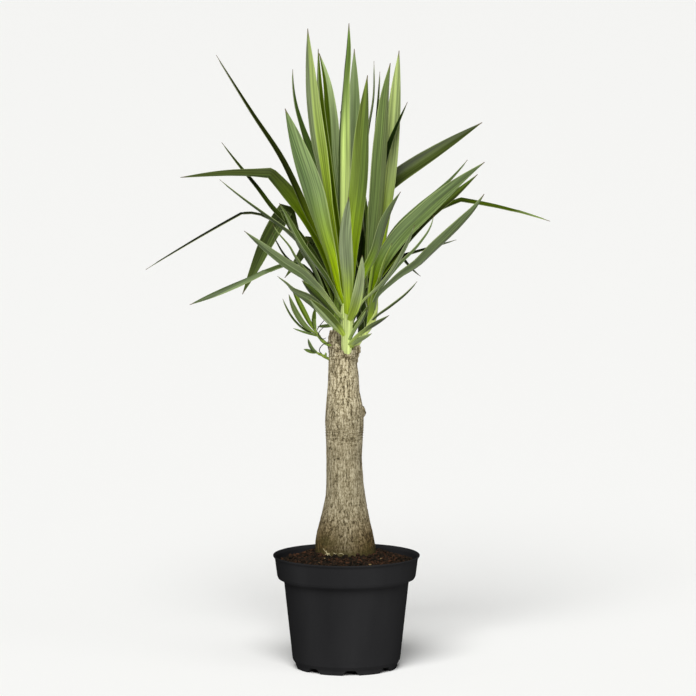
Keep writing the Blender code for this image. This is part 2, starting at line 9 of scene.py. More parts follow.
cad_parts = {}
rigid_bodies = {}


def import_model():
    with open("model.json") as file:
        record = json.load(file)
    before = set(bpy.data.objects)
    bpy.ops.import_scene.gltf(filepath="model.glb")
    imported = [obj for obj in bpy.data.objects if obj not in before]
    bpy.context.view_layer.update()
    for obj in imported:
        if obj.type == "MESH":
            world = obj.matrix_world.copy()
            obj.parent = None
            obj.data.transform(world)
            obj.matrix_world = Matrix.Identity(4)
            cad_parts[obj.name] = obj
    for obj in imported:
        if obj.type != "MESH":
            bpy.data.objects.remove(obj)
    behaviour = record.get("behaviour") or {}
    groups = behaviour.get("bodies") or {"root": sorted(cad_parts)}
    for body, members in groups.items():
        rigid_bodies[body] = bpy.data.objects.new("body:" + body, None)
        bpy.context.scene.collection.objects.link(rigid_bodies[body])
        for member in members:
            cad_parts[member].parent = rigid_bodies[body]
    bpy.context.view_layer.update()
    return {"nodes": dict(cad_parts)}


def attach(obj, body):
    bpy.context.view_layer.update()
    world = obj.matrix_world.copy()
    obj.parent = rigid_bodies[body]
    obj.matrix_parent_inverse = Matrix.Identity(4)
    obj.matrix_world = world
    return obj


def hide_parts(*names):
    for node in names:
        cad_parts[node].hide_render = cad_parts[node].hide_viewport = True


# A single-cane yucca in a plain nursery pot. Lengths are in millimetres, and addPiece turns them
# into metres. The studio's lengths and the depths of bumps are in metres, and a grain or scale is in
# repeats to a metre.

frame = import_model()
mm = 0.001
print("frame loaded with", len(frame["nodes"]), "nodes")


def linear(code):  # sRGB hex to linear colour
    parts = [int(code[i:i + 2], 16) / 255 for i in (0, 2, 4)]
    return [p / 12.92 if p <= 0.04045 else ((p + 0.055) / 1.055) ** 2.4 for p in parts] + [1.0]


def feed(tree, node, links):  # a node given as source stands for its first output
    for name, source in links.items():
        output = source.outputs[0] if isinstance(source, bpy.types.Node) else source
        tree.links.new(output, node.inputs[name])


def addNode(tree, kind, settings=None, links=None):  # one node with its settings and links
    node = tree.nodes.new("ShaderNode" + kind)
    for name, value in (settings or {}).items():
        if name == "ramp":
            elements = node.color_ramp.elements
            for element, (place, code) in zip(list(elements), (value[0], value[-1])):
                element.position = place
                element.color = linear(code)
            for place, code in value[1:-1]:
                elements.new(place).color = linear(code)
        elif isinstance(name, str) and hasattr(node, name):
            setattr(node, name, value)
        else:
            node.inputs[name].default_value = value
    feed(tree, node, links or {})
    return node


def startMaterial(name, settings):  # a Principled material whose constant values sit on its own sockets
    made = bpy.data.materials.new(name)
    made.use_nodes = True
    tree = made.node_tree
    shader = tree.nodes["Principled BSDF"]
    for socket, value in settings.items():
        shader.inputs[socket].default_value = value
    return made, tree, shader


def addPiece(name, points, faces, material, replaced=(), sharp=40):
    mesh = bpy.data.meshes.new(name)
    mesh.from_pydata([(p[0] * mm, p[1] * mm, p[2] * mm) for p in points], [], faces)
    mesh.materials.append(material)
    mesh.shade_smooth()
    mesh.set_sharp_from_angle(angle=math.radians(sharp))
    piece = bpy.data.objects.new(name, mesh)
    bpy.context.scene.collection.objects.link(piece)
    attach(piece, "root")
    if replaced:
        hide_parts(*replaced)
    return piece


def setNumbers(piece, numbers):  # named values at each point, for the material to read
    for name, values in numbers.items():
        size = len(values[0]) if isinstance(values[0], (list, tuple)) else 1
        kind, key = {1: ("FLOAT", "value"), 3: ("FLOAT_VECTOR", "vector"), 4: ("FLOAT_COLOR", "color")}[size]
        made = piece.data.attributes.new(name, kind, "POINT")
        made.data.foreach_set(key, values if size == 1 else [n for value in values for n in value])


def gather(points, faces, somePoints, someFaces):  # adds one body to the piece being made
    start = len(points)
    points += somePoints
    faces += [tuple(start + i for i in face) for face in someFaces]


def ease(low, high, value):  # 0 below low, 1 above high, smooth between
    t = min(max((value - low) / (high - low), 0), 1)
    return t * t * (3 - 2 * t)


def between(stations, height):  # values at a height, from rows whose first number is their height
    for low, high in zip(stations, stations[1:]):
        if height <= high[0]:
            t = max(height - low[0], 0) / (high[0] - low[0])
            return [a + (b - a) * t for a, b in zip(low[1:], high[1:])]
    return list(stations[-1][1:])


def circle(radius, height, count, x=0, y=0):  # a level ring of points
    turns = [2 * math.pi * i / count for i in range(count)]
    return [(x + radius * math.cos(t), y + radius * math.sin(t), height) for t in turns]


def skin(rings):  # points and faces of a closed skin through equal rings
    count = len(rings[0])
    points = [p for ring in rings for p in ring]
    faces = []
    for r in range(len(rings) - 1):
        for i in range(count):
            j = (i + 1) % count
            faces.append((r * count + i, r * count + j, (r + 1) * count + j, (r + 1) * count + i))
    for start in (0, (len(rings) - 1) * count):
        ring = points[start:start + count]
        points.append(tuple(sum(p[k] for p in ring) / count for k in range(3)))
        for i in range(count):
            pair = (start + i, start + (i + 1) % count)
            faces.append((*(pair if start else reversed(pair)), len(points) - 1))
    return points, faces


def tubeRings(stations, sides, bumps=0.0):  # rings round (x, y, z, radius) stations
    rings = []
    for k, (x, y, z, radius) in enumerate(stations):
        before = Vector(stations[max(k - 1, 0)][:3])
        after = Vector(stations[min(k + 1, len(stations) - 1)][:3])
        along = (after - before).normalized()
        out = along.cross(Vector((0, 1, 0.01))).normalized()
        over = along.cross(out)
        ring = []
        for i in range(sides):
            turn = 2 * math.pi * i / sides
            spoke = out * math.cos(turn) + over * math.sin(turn)
            place = Vector((x, y, z)) + radius * spoke
            ring.append(place + bumps * noise.noise(place / 3) * spoke)
        rings.append(ring)
    return rings


def closer(stations, pieces):  # more stations on a smooth line through the given ones
    made = []
    last = len(stations) - 1
    for k in range(last):
        before = stations[max(k - 1, 0)]
        low, high = stations[k], stations[k + 1]
        after = stations[min(k + 2, last)]
        for step in range(pieces):
            t = step / pieces
            made.append(tuple(
                b + (c - a) / 2 * (t - 2 * t ** 2 + t ** 3) + (c - b) * (3 * t ** 2 - 2 * t ** 3)
                + (d - b) / 2 * (t ** 3 - t ** 2)
                for a, b, c, d in zip(before, low, high, after)))
    return made + [tuple(stations[-1])]


# Leaf: living yucca leaf, a waxy skin over lengthwise fibres. The eye gets a satin sheen, fine lines
# along the blade, a pale horny edge, a lime foot where it clasps the stem and a brown point. Real
# fibres lie 0.4 apart, too fine to show, so they are drawn coarser.
leafLook = {
    "shade": 0.71,  # the tones are as seen, under light a little over 1
    "saturation": 1.2,
    "roughness": 0.44,
    "sheen": 0.16,
    "streaks": [  # width, length, darkest and lightest
        (1.4, 130, 0.55, 1.45), (4.2, 160, 0.74, 1.26), (9, 75, 0.86, 1.14)],
    "edge": "b9c487",
    "tip": "5a4a2c",
    "lineDepth": 0.00012,
}


def waxyLeaf():
    look = leafLook
    made, tree, shader = startMaterial("yuccaLeaf", {
        "Roughness": look["roughness"], "IOR": 1.45, "Specular IOR Level": look["sheen"]})
    read = {name: addNode(tree, "Attribute", {"attribute_name": name}).outputs for name in (
        "toneLeft", "toneRight", "toneFoot", "toneSplit", "bladePlace", "bladeSize")}
    place = addNode(tree, "SeparateXYZ", links={0: read["bladePlace"]["Vector"]}).outputs
    size = addNode(tree, "SeparateXYZ", links={0: read["bladeSize"]["Vector"]}).outputs
    # the two tones meet at split and paint the lit and the shaded half of the folded blade
    fromSplit = addNode(tree, "Math", {"operation": "SUBTRACT"}, {0: place["X"], 1: read["toneSplit"]["Fac"]})
    side = addNode(tree, "MapRange", {"From Min": -0.1, "From Max": 0.1}, {"Value": fromSplit})
    tone = addNode(tree, "Mix", {"data_type": "RGBA"}, {
        0: side, 6: read["toneLeft"]["Color"], 7: read["toneRight"]["Color"]})
    lime = addNode(tree, "MapRange", {
        "interpolation_type": "SMOOTHSTEP", "From Min": 0.3, "From Max": 1, "To Min": 1, "To Max": 0}, {
        "Value": size["Z"]})
    tone = addNode(tree, "Mix", {"data_type": "RGBA"}, {
        0: lime, 6: tone.outputs[2], 7: read["toneFoot"]["Color"]})
    values = []
    for width, length, low, high in look["streaks"]:
        across = addNode(tree, "Math", {"operation": "DIVIDE", 1: width}, {0: size["X"]})
        along = addNode(tree, "Math", {"operation": "DIVIDE", 1: length}, {0: size["Y"]})
        spot = addNode(tree, "CombineXYZ", links={0: across, 1: along, 2: place["Z"]})
        lines = addNode(tree, "TexNoise", {"Scale": 1, "Detail": 2}, {"Vector": spot})
        values.append(addNode(tree, "MapRange", {
            "From Min": 0.3, "From Max": 0.7, "To Min": low, "To Max": high}, {"Value": lines}))
    value = values[0]
    for more in values[1:]:
        value = addNode(tree, "Math", {"operation": "MULTIPLY"}, {0: value, 1: more})
    tone = addNode(tree, "HueSaturation", {"Saturation": look["saturation"]}, {
        "Color": tone.outputs[2], "Value": value})
    fromRib = addNode(tree, "Math", {"operation": "ABSOLUTE"}, {0: place["X"]})
    edge = addNode(tree, "MapRange", {"From Min": 0.9, "From Max": 1, "To Max": 0.4}, {"Value": fromRib})
    tone = addNode(tree, "Mix", {"data_type": "RGBA", 7: linear(look["edge"])}, {0: edge, 6: tone})
    point = addNode(tree, "MapRange", {"From Min": 0.965, "From Max": 0.995}, {"Value": place["Y"]})
    tone = addNode(tree, "Mix", {"data_type": "RGBA", 7: linear(look["tip"])}, {0: point, 6: tone.outputs[2]})
    relief = addNode(tree, "Bump", {"Strength": 0.5, "Distance": look["lineDepth"]}, {"Height": values[0]})
    feed(tree, shader, {"Base Color": tone.outputs[2], "Normal": relief})
    return made


# Leaves are laid out in the upright plane through the cane, as seen from the eye, and each is then
# pushed nearer or further along the line of sight.
bladeForm = {
    "eyeDistance": 4048,
    "eyeHeight": 779.5,
    "rings": 30,
    "columns": (-1, -0.95, -0.75, -0.5, -0.25, -0.08, 0.08, 0.25, 0.5, 0.75, 0.95, 1),
    "ribThick": 0.95,
    "edgeThick": 0.35,
    "ribCurve": 0.5,
    "tipWidth": 0.7,
    "footShare": 0.36,
    "channel": 0.15,
    "channelCurve": 1.3,
    "widestAt": 0.5,
    "taper": 2.4,
    "turnedBy": 0.2,
    "aimAbove": 40,
    "foldHalf": 0.014,
    "closing": 1.25,  # how the rings close up towards the point
    "limeTo": 0.22,
    "bloom": 0.12,  # how far the underside's tone goes to a grey that is lighter by bloomLight
    "bloomLight": 1.25,
    "seedStep": 5.3,  # between the noises of two leaves
    "stemSteps": 8,
    "stemBumps": 0.5,
    "stemPlace": (0, 0.4, 3),  # a stem has no pale edge and no brown point
    "sharp": 50,
}


# root: height where the leaf leaves its stem. back: how far its tip lies behind the plane. wide: full
# width. shown: the widths seen, at even steps from foot to tip. line: right and up. left and right:
# its tones on the two sides of split. The tones are as seen, with each leaf's light and shade painted
# in: the two sides paint the lit and the shaded half of a folded blade, and the darkest tones paint
# leaves deep in shade. Then, where they are needed, kink: the point of the line where it is folded
# over. foot and footLeft: the foot's tones, footLeft for the left of split; these too hold painted light
# and shade. footShare: the foot's width. limeTo: the share of the length at which the foot's tone ends.
def blade(root, back, wide, shown, line, left, right=None, **more):  # one leaf
    return dict(root=root, back=back, wide=wide, shown=shown, line=line, tone=(left, right or left), **more)


frontHead = {
    "stem": [(-1, -6, 356, 4.2), (0, -11, 368, 5.8), (0.5, -15, 383, 6.5), (1, -16.5, 403, 7.8),
             (1, -17.5, 421, 7), (1, -18, 447, 2.4)],
    "stemTone": "e2f0aa",
    "foot": "bdd172",
    "leaves": [
        blade(416, -85, 26, (13, 13, 15.5, 18.5, 24, 25, 25, 25), [(-9.5, 440), (-13.5, 460), (-18, 480),
          (-23.5, 500), (-30, 525), (-37, 550), (-54, 600), (-70, 646)], "778e5a", "8ba06a", footShare=0.22,
          foot="a6be52", limeTo=0.65),
        blade(410, -45, 22, (8, 8, 8, 17, 19, 19), [(-5, 436), (-10, 470), (-12.5, 490), (-17.5, 522),
          (-22, 553), (-26.5, 580), (-32.5, 615), (-38.3, 660), (-41.8, 700), (-44, 737)], "909e72",
          "96a666", foot="a2ba4c", footLeft="a2b476", limeTo=0.85),
        blade(412, -30, 16, (6, 6, 7.5, 10.5, 11), [(-7, 489), (-19, 575), (-28.4, 645), (-32, 714)],
          "b4c980", "4e6219", split=0.25, foot="4c5e1c", footLeft="9ab050", limeTo=0.8),
        blade(415, -50, 20, (14, 14, 14, 13, 9.6, 16), [(-2.5, 500), (-2.2, 580), (-1.2, 640), (0.8, 684),
          (2.7, 712), (3, 743)], "495d2a", "6a8442", split=-0.3, foot="e2f4a6", footLeft="465c1c",
          limeTo=0.95),
        blade(408, -78, 21, (19, 20.5, 20.5, 19), [(5, 489), (13.6, 560), (18, 625), (24, 684)], "72843e",
          "64773a", foot="9ab24a", limeTo=0.6),
        blade(406, -165, 17, (12, 13, 15, 15, 15), [(1.7, 438), (1.5, 455), (0.5, 470), (-0.5, 500),
          (3, 545)], "a8b888", "a6b688", foot="c0d868", limeTo=0.55),
        blade(400, -110, 14, (13, 13.5, 13, 10.5, 9.5, 9), [(7.5, 412), (11.5, 426), (14, 440), (16, 455),
          (18, 478)], "d6e8a8", "c4d698", foot="c6dc74", limeTo=0.6),
        blade(400, -140, 12, (9, 7.5, 7, 7.8, 9.8, 11, 10.8, 10.5, 11, 11), [(-8, 409), (-15, 419),
          (-22.5, 429), (-30, 438.5), (-40, 448), (-50, 456.5), (-60, 463), (-70, 469.5), (-80, 477),
          (-90, 484.5), (-100, 492.5), (-117, 506)], "6e8050", "808f64", footShare=0.25, foot="d2e29a",
          limeTo=0.4),
        blade(390, -60, 12, (7.5, 8.5, 10, 11, 11, 8, 4, 3), [(-10, 398), (-20, 406), (-29, 415), (-38, 424),
          (-46, 430), (-54, 434.5), (-61, 439), (-68, 446), (-79, 454)], "5a6940", "6b7852", footShare=0.25,
          limeTo=0.3),
        blade(382, -66, 13, (9, 11, 12, 10), [(-5, 388.5), (-10, 395), (-17, 402.5), (-25, 411),
          (-33, 419.5), (-42, 428.5)], "a4b580", "58682e", footShare=0.3, split=0.15, limeTo=0.4),
        blade(402, -100, 6, (3, 2.5, 2.5, 3, 3.3, 2.5, 2, 2), [(-10, 414), (-22, 430.5), (-31, 442),
          (-38, 450), (-46, 459), (-53, 468.5), (-59, 478), (-64.5, 488), (-70, 495), (-77, 503),
          (-84, 513)], "9cab7e", "7f9058", foot="c2d292", limeTo=0.4),
        blade(414, -60, 9, (6, 5.6, 5.3, 5.8, 6.8, 7.8, 8.7, 8.8), [(-5, 421), (-10, 430), (-15.5, 440.5),
          (-22, 452), (-30, 463), (-37, 472), (-43, 480), (-50, 490), (-56, 500), (-62.5, 512), (-69, 525),
          (-77, 538)], "7c8b5c", "51612f", footShare=0.25, foot="a6ba72", limeTo=0.25),
        blade(400, -140, 7, (3.5, 3, 2.8, 3.2, 4, 5, 6, 6), [(10, 412), (20, 427), (29, 435), (38, 443.5),
          (47, 454), (55, 465.5), (64, 481), (72, 497), (78, 513)], "8b9a6c", "7f8f5e", foot="c6d890",
          limeTo=0.5),
        blade(376, -55, 7, (5, 4, 3), [(9, 392), (15, 402), (22.5, 415)], "b0c47c", "8a9d5d"),
        blade(370, -40, 8, (5.5, 5.5), [(12, 379), (29, 388)], "96a570", "727f50", limeTo=0.4),
        blade(373, -95, 8, (4, 4, 5.5, 5.5), [(13, 386), (21, 391.5), (28, 396.5), (38, 402.5), (49, 409)],
          "5f6e44", "39431f", foot="b8ca7e", limeTo=0.7),
        blade(404, -62, 13, (8, 8, 9, 10.5, 11.5, 11), [(12, 440), (21, 460), (27, 471), (33, 484),
          (38, 502), (43, 518), (51, 534), (62, 551)], "5b6945", "66724f", foot="8fab3e", limeTo=0.7),
        blade(388, -22, 11, (8, 9, 8), [(6, 405), (15, 425), (22, 447)], "4c5c26", "5c6d30", limeTo=0.3),
        blade(379, -24, 9, (6, 7, 6), [(7, 392), (17, 405), (25, 421)], "5a6b30", "46561f", limeTo=0.3),
        # these two near-black blades behind the others are painted shade, filling the dark gaps deep in the
        # crown
        blade(404, 20, 16, (13, 14, 12), [(10, 440), (15, 470), (19, 510)], "202c0a", "26340c",
          foot="2e3c12"),
        blade(400, 24, 12, (9, 12, 10), [(16, 430), (23, 465), (26, 510)], "26340c", "1e2a0a",
          foot="2e3c12"),
    ],
}

rightHead = {
    "stem": [(7, 3, 363, 4), (12, 3, 377, 4.4), (19, 3, 388, 4.8), (26, 4, 398, 5.4), (30, 4, 412, 6),
             (31, 5, 432, 5), (31, 6, 454, 2.2)],
    "stemTone": "d4e298",
    "foot": "98ad50",
    "leaves": [
        blade(425, 5, 24, (17, 17, 17.5), [(30, 478), (34, 541), (39.6, 620), (44, 664), (50, 698)],
          "74874f", "81915a"),
        blade(428, 42, 20, (18, 19), [(38, 495), (46.5, 560), (52.2, 620), (56, 665), (60, 712)], "a2af78",
          "abb984", foot="98ad4e", limeTo=0.6),
        blade(426, 24, 12, (5, 6, 8.5, 6.5), [(34, 510), (42, 583), (48, 603), (55.5, 622), (69.6, 653.5)],
          "1a2c04", "1f3206"),
        blade(424, 75, 22, (14, 18, 18.5, 17), [(33, 490), (36, 532), (44, 556), (57, 567.5), (75.5, 580.5),
          (99.5, 596), (155, 630.3)], "374118", "3e4726"),
        blade(415, 34, 12, (5, 5), [(36, 470), (55.5, 508), (81, 533), (103, 551), (117.5, 564),
          (126.5, 573.5), (138.3, 587.5)], "5b6a46", "56623f"),
        blade(412, -8, 20, (16, 20, 18.5, 13), [(35.5, 460), (58, 497), (87, 526.5), (120, 556.3),
          (158, 585)], "728456", "90a866", foot="86a03c", limeTo=0.4),
        blade(410, 20, 18, (12, 12), [(33, 448), (45, 466), (60, 487), (95, 525), (125, 549), (150, 571)],
          "4a5828", "48522a", foot="9cb452", limeTo=0.5),
        blade(405, 50, 12, (5, 5), [(33, 440), (60, 484), (100, 528), (131, 542.3), (180, 532.8),
          (233, 517)], "44531f", "66763e", kink=4),
        blade(398, -28, 18, (2.5, 4, 8, 10.7, 12.4, 13.5), [(34, 431), (40, 437.5), (50, 446.5), (60, 455),
          (80.4, 469), (97.6, 486), (130.4, 517), (146.8, 534), (157.6, 548.4)], "728258", "566634",
          limeTo=0.2),
        blade(400, 45, 8, (3, 3), [(34, 437), (51, 464), (67, 479), (95, 487), (126, 496)], "222b10",
          "2c3616", kink=3),
        blade(398, 60, 9, (4, 4), [(34, 443), (50, 468), (65, 475), (75, 463), (85, 454)], "222b10",
          "2c3616", kink=3),
        blade(394, -40, 7, (3, 3), [(33, 430), (57, 464), (83.5, 492), (95.5, 510), (100, 524)], "697b4c",
          "5a6b3c"),
        blade(386, -8, 6, (2.5, 2.5), [(32, 406), (50, 419.5), (69, 435), (81, 448)], "4c5a34", "434f2c"),
        blade(392, -10, 12, (9, 8, 7), [(29, 412), (32, 432), (37, 452)], "74883c", "9bb069", limeTo=0.5),
        blade(428, 60, 9, (2, 2), [(24, 480), (20, 560), (25, 618), (31.5, 660), (31.5, 700)], "4b5a33",
          "55643c"),
        blade(424, 48, 11, (4, 4), [(29, 480), (30, 560), (34, 625), (38, 688)], "35430f", "445518"),
        blade(430, 38, 20, (14, 14, 17, 19), [(15, 470), (9.5, 600), (9, 660), (9, 714)], "95a47c",
          "7e8e64"),
        blade(426, 130, 20, None, [(34, 500), (44, 590)], "5f7238"),
        blade(414, 165, 18, None, [(42, 474), (78, 518)], "5f7238"),
        blade(406, 150, 16, (10, 10), [(38, 462), (62, 494)], "4a5b26"),
        blade(400, 125, 14, (8, 8), [(34, 444), (45, 472)], "4a5b26"),
        blade(412, 165, 18, None, [(34, 476), (48, 484)], "5f7238"),
        blade(378, -10, 9, (7, 8, 6), [(17, 396), (15, 409), (13, 424)], "3c4a18", "2c3810"),
        blade(386, -6, 10, (8, 9, 7), [(20, 402), (19, 418), (18, 440)], "4a5c22", "35461a"),
        blade(402, -12, 6, (5, 4, 3), [(26, 425), (27.5, 445), (31, 470), (36, 500)], "93ab4c", "7c9440",
          foot="a9bf62", limeTo=0.5),
        blade(404, -16, 6, (4.5, 4, 3), [(33, 425), (36.5, 445), (43, 470), (52, 492)], "98ae58", "6c8236",
          foot="a9bf62", limeTo=0.5),
        blade(402, -8, 6, (4, 4, 3), [(23.5, 430), (22.5, 455), (23.5, 500), (25.5, 540)], "5a6e24",
          "7b8c50", limeTo=0.3),
    ],
}

leftHead = {
    "stem": [(-12, 6.6, 383, 4), (-11.5, 7.5, 393, 4.6), (-10, 9, 410, 6), (-8, 10, 432, 5),
             (-7, 11, 454, 2.2)],
    "stemTone": "7d9050",
    "foot": "6f8438",
    "leaves": [
        blade(425, 16, 12, (10, 8.5, 5, 3), [(-20, 480), (-44, 526), (-57.2, 556), (-71.7, 586),
          (-107.5, 641.5), (-148.3, 707)], "1f260e", "262d0f", foot="6c8024", limeTo=0.5),
        blade(420, 38, 20, (15, 14, 12.5, 12, 13, 16.5, 13.5, 9.5, 9.5, 10, 10), [(-25, 480), (-46, 521),
          (-63, 546), (-86.5, 572.5), (-130, 573), (-190, 567.5)], "444f31", "4c5630", kink=4, foot="9cb84a",
          limeTo=0.65),
        blade(410, 50, 10, (8, 7, 5, 5), [(-24, 455), (-41, 484), (-58.5, 508), (-84, 532.5),
          (-100.5, 554.5), (-126.5, 586.5), (-142.5, 607.5)], "37441c", "414f24"),
        blade(404, -6, 8, (7, 6.5, 5, 3.5, 3, 3, 3), [(-24, 430), (-29, 443), (-34, 455), (-40, 467.5),
          (-48, 481), (-60, 500), (-75, 512), (-90, 523), (-118, 543.5), (-145, 565)], "49563a", "3f4a2c",
          foot="6f7d55", limeTo=0.7),
        blade(402, 24, 7, (2.5, 2.5), [(-27, 454), (-62, 500), (-88, 520.5), (-102, 526.4), (-119, 526.6),
          (-160, 503.6), (-230, 461.5)], "171b0d", "1c220f", kink=5),
        blade(408, 66, 20, (6, 6.5, 7, 7.5, 8.5, 15, 20, 20, 20, 20, 20), [(-30, 452), (-48, 482),
          (-60, 508), (-68.5, 532.5), (-87.6, 501), (-105, 464), (-119.5, 433)], "525f34", "5b693e", kink=4),
        blade(404, 58, 14, (9, 11, 12.5, 12.5), [(-24, 460), (-34, 483), (-42, 497), (-55, 474), (-71, 452)],
          "56643a", "62703f", kink=3),
        blade(398, 8, 14, (1.5, 2.6, 5.8, 14), [(-18, 428), (-30, 444), (-38, 456), (-46, 464.5), (-55, 469),
          (-64, 469.5), (-76, 466), (-117, 447.5), (-180, 421)], "5a6943", "6f7e58", foot="1e260c",
          limeTo=0.6),
        blade(428, 46, 22, (4, 9, 15, 18, 18), [(-7, 478), (-8, 545), (-13.5, 590), (-17, 635), (-23.5, 683),
          (-31, 709)], "4c5f1c", "a8b988", foot="4c5f20", limeTo=0.4),
        blade(424, 26, 16, (15, 15, 14, 7, 3), [(-12, 490), (-27.5, 560), (-40.6, 598), (-51, 628),
          (-57.2, 650), (-60.5, 675), (-61, 691)], "55693c", "4d6034"),
        blade(426, 30, 12, (6, 6), [(-6, 480), (-4, 560), (-7, 643)], "2c3a0c", "34430f"),
        blade(406, 15, 16, (14, 13, 10, 8), [(-14, 424), (-22, 441), (-30, 457), (-38, 474), (-43, 486),
          (-44, 494)], "26300e", "2f3c14", foot="36421a"),
        blade(400, 5, 13, (9, 11), [(-20, 418), (-36, 434.5), (-51, 449)], "323f16", "526428",
          foot="3f4e20"),
        blade(404, 20, 5, (2.8, 2.8), [(-30, 446), (-55, 466), (-66, 473), (-73, 481.5), (-79, 492),
          (-85, 504)], "12180a", "1a2210"),
        blade(398, 4, 6, (4, 4), [(-22, 397), (-33, 396)], "5c6b40", "66764a"),
        blade(424, 130, 20, None, [(9, 468), (14, 575)], "5a6c36"),
        blade(426, 140, 15, None, [(-16, 490), (-26, 565)], "5a6c36"),
        blade(418, 160, 18, None, [(-24, 485), (-42, 555)], "5f7238"),
        blade(408, 165, 10, (6, 6), [(-36, 470), (-62, 505)], "414d25", "4c592d"),
        blade(402, 150, 12, None, [(-28, 430), (-58, 462)], "5a6c36"),
        blade(410, 165, 16, None, [(-20, 474), (-27, 482)], "5f7238"),
        blade(398, 115, 11, None, [(-26, 420), (-46, 430)], "5a6c36"),
    ],
}

upperShoot = {
    "stem": [(-14, -1, 371, 1.7), (-21, -1, 375, 1.8), (-28, -1, 380, 2), (-33, -1.5, 387, 1.8),
             (-37, -2, 393, 1.2)],
    "stemTone": "8da05a",
    "foot": "93a75c",
    "leaves": [
        blade(386, -4, 5, (2, 2), [(-47, 392), (-60, 404), (-73, 428)], "5c6c44"),
        blade(388, -12, 8, (6.5, 6.5), [(-43, 393), (-57, 411), (-66, 433)], "8a9d5a", "82955a"),
        blade(390, 6, 8, (6, 6), [(-40, 397), (-48, 412), (-63, 442)], "5f7136", "6a7c40"),
        blade(389, -2, 6, (5, 5), [(-37, 399), (-36, 418)], "7b8e4c", "6f8244"),
        blade(385, -9, 4, (2, 2), [(-43, 388), (-61, 394)], "5c6c44"),
    ],
}

lowerShoot = {
    "stem": [(-14, -2, 355, 1.5), (-20, -2, 358.5, 1.6), (-28, -3, 363, 1.7), (-35, -4, 367, 1.2)],
    "stemTone": "8d9e58",
    "foot": "93a75c",
    "leaves": [
        blade(365, -8, 5, (4, 4), [(-38, 369), (-44, 382)], "66774a", "5d6e42"),
        blade(366, -5, 5, (4, 4), [(-40, 367), (-49, 370)], "6d7f4a", "66774a"),
        blade(361, -4, 3, (2.5, 2.5), [(-24, 363), (-24, 366)], "7b8e4c"),
    ],
}


def seen(right, up, back):  # a point pushed back along the line of sight
    far = 1 + back / bladeForm["eyeDistance"]
    eye = bladeForm["eyeHeight"]
    return Vector((right * far, back, eye + (up - eye) * far))


def onStem(stem, height):
    for low, high in zip(stem, stem[1:]):
        if height <= high[2]:
            share = max((height - low[2]) / (high[2] - low[2]), 0)
            return Vector(low[:3]).lerp(Vector(high[:3]), share)
    return Vector(stem[-1][:3])


def rounded(points, pieces=10):  # a smooth line through the points
    chords = [(b - a).length for a, b in zip(points, points[1:])]
    slopes = [(b - a) / c for a, b, c in zip(points, points[1:], chords)]
    inner = [(slopes[i] * chords[i + 1] + slopes[i + 1] * chords[i]) / (chords[i] + chords[i + 1])
             for i in range(len(slopes) - 1)]
    if not inner:
        return list(points)
    slopes = [slopes[0] * 1.5 - inner[0] * 0.5, *inner, slopes[-1] * 1.5 - inner[-1] * 0.5]
    line = [points[0]]
    for i, chord in enumerate(chords):
        for k in range(1, pieces + 1):
            t = k / pieces
            place = points[i].lerp(points[i + 1], 3 * t ** 2 - 2 * t ** 3)
            leaving = slopes[i] * chord * (t ** 3 - 2 * t ** 2 + t)
            line.append(place + leaving + slopes[i + 1] * chord * (t ** 3 - t ** 2))
    return line


def leafLine(leaf, stem):  # the blade's middle line, and the share at which it is folded
    root = onStem(stem, leaf["root"])
    flat = [Vector((root.x, root.z))] + [Vector(p) for p in leaf["line"]]
    reach = [0.0]
    for a, b in zip(flat, flat[1:]):
        reach.append(reach[-1] + (b - a).length)
    points = [root]
    for (right, up), far in zip(leaf["line"], reach[1:]):
        points.append(seen(right, up, root.y + (leaf["back"] - root.y) * far / reach[-1]))
    kink = leaf.get("kink")
    if kink is None:
        return rounded(points), None
    before = rounded(points[:kink + 1])
    line = before + rounded(points[kink:])[1:]
    lengths = [(b - a).length for a, b in zip(line, line[1:])]
    return line, sum(lengths[:len(before) - 1]) / sum(lengths)


def alongLine(line, share):  # place, direction and distance from the root at a share of the length
    lengths = [(b - a).length for a, b in zip(line, line[1:])]
    total = sum(lengths)
    left = share * total
    for a, b, length in zip(line, line[1:], lengths):
        if left <= length:
            return a.lerp(b, left / length), (b - a).normalized(), share * total
        left -= length
    return line[-1].copy(), (line[-1] - line[-2]).normalized(), total


def bladeWidth(leaf, share):
    form = bladeForm
    if share < form["widestAt"]:
        foot = leaf.get("footShare", form["footShare"])
        part = foot + (1 - foot) * math.sin(math.pi / 2 * share / form["widestAt"])
    else:
        part = 1 - ((share - form["widestAt"]) / (1 - form["widestAt"])) ** form["taper"]
    return max(leaf["wide"] * part, form["tipWidth"])


def shownWidth(leaf, share):
    widths = leaf["shown"]
    place = share * (len(widths) - 1)
    k = min(int(place), len(widths) - 2)
    return widths[k] + (widths[k + 1] - widths[k]) * (place - k)


def inwardFrom(middle, stem):  # from a blade to above its stem, which is where its upper face looks
    return Vector((onStem(stem, middle.z).x, stem[-1][1], middle.z + bladeForm["aimAbove"])) - middle


def shownTurns(leaf, middle, along, share):  # the four ways across that show the width seen
    toEye = (Vector((0, -bladeForm["eyeDistance"], bladeForm["eyeHeight"])) - middle).normalized()
    flat = along.cross(toEye).normalized()
    deep = along.cross(flat)
    turn = math.acos(min(shownWidth(leaf, share) / leaf["wide"], 1))
    turns = [flat * math.cos(turn) + deep * math.sin(turn) * s for s in (1, -1)]
    return turns + [-t for t in turns]


def bestTurn(leaf, line, stem):  # which of the four lies nearest to how the leaf would grow
    middle, along, _ = alongLine(line, bladeForm["widestAt"])
    natural = along.cross(inwardFrom(middle, stem)).normalized()
    turns = shownTurns(leaf, middle, along, 1)
    return max(range(4), key=lambda k: turns[k].dot(natural))


def bladeTurn(leaf, middle, along, share, stem, best):  # across the blade, and out of its upper face
    inward = inwardFrom(middle, stem)
    across = along.cross(inward).normalized()
    if leaf["shown"]:
        shown = shownTurns(leaf, middle, along, share)[best]
        across = across.lerp(shown, min(share / bladeForm["turnedBy"], 1)).normalized()
    upper = across.cross(along).normalized()
    return across, -upper if upper.dot(inward) < 0 else upper


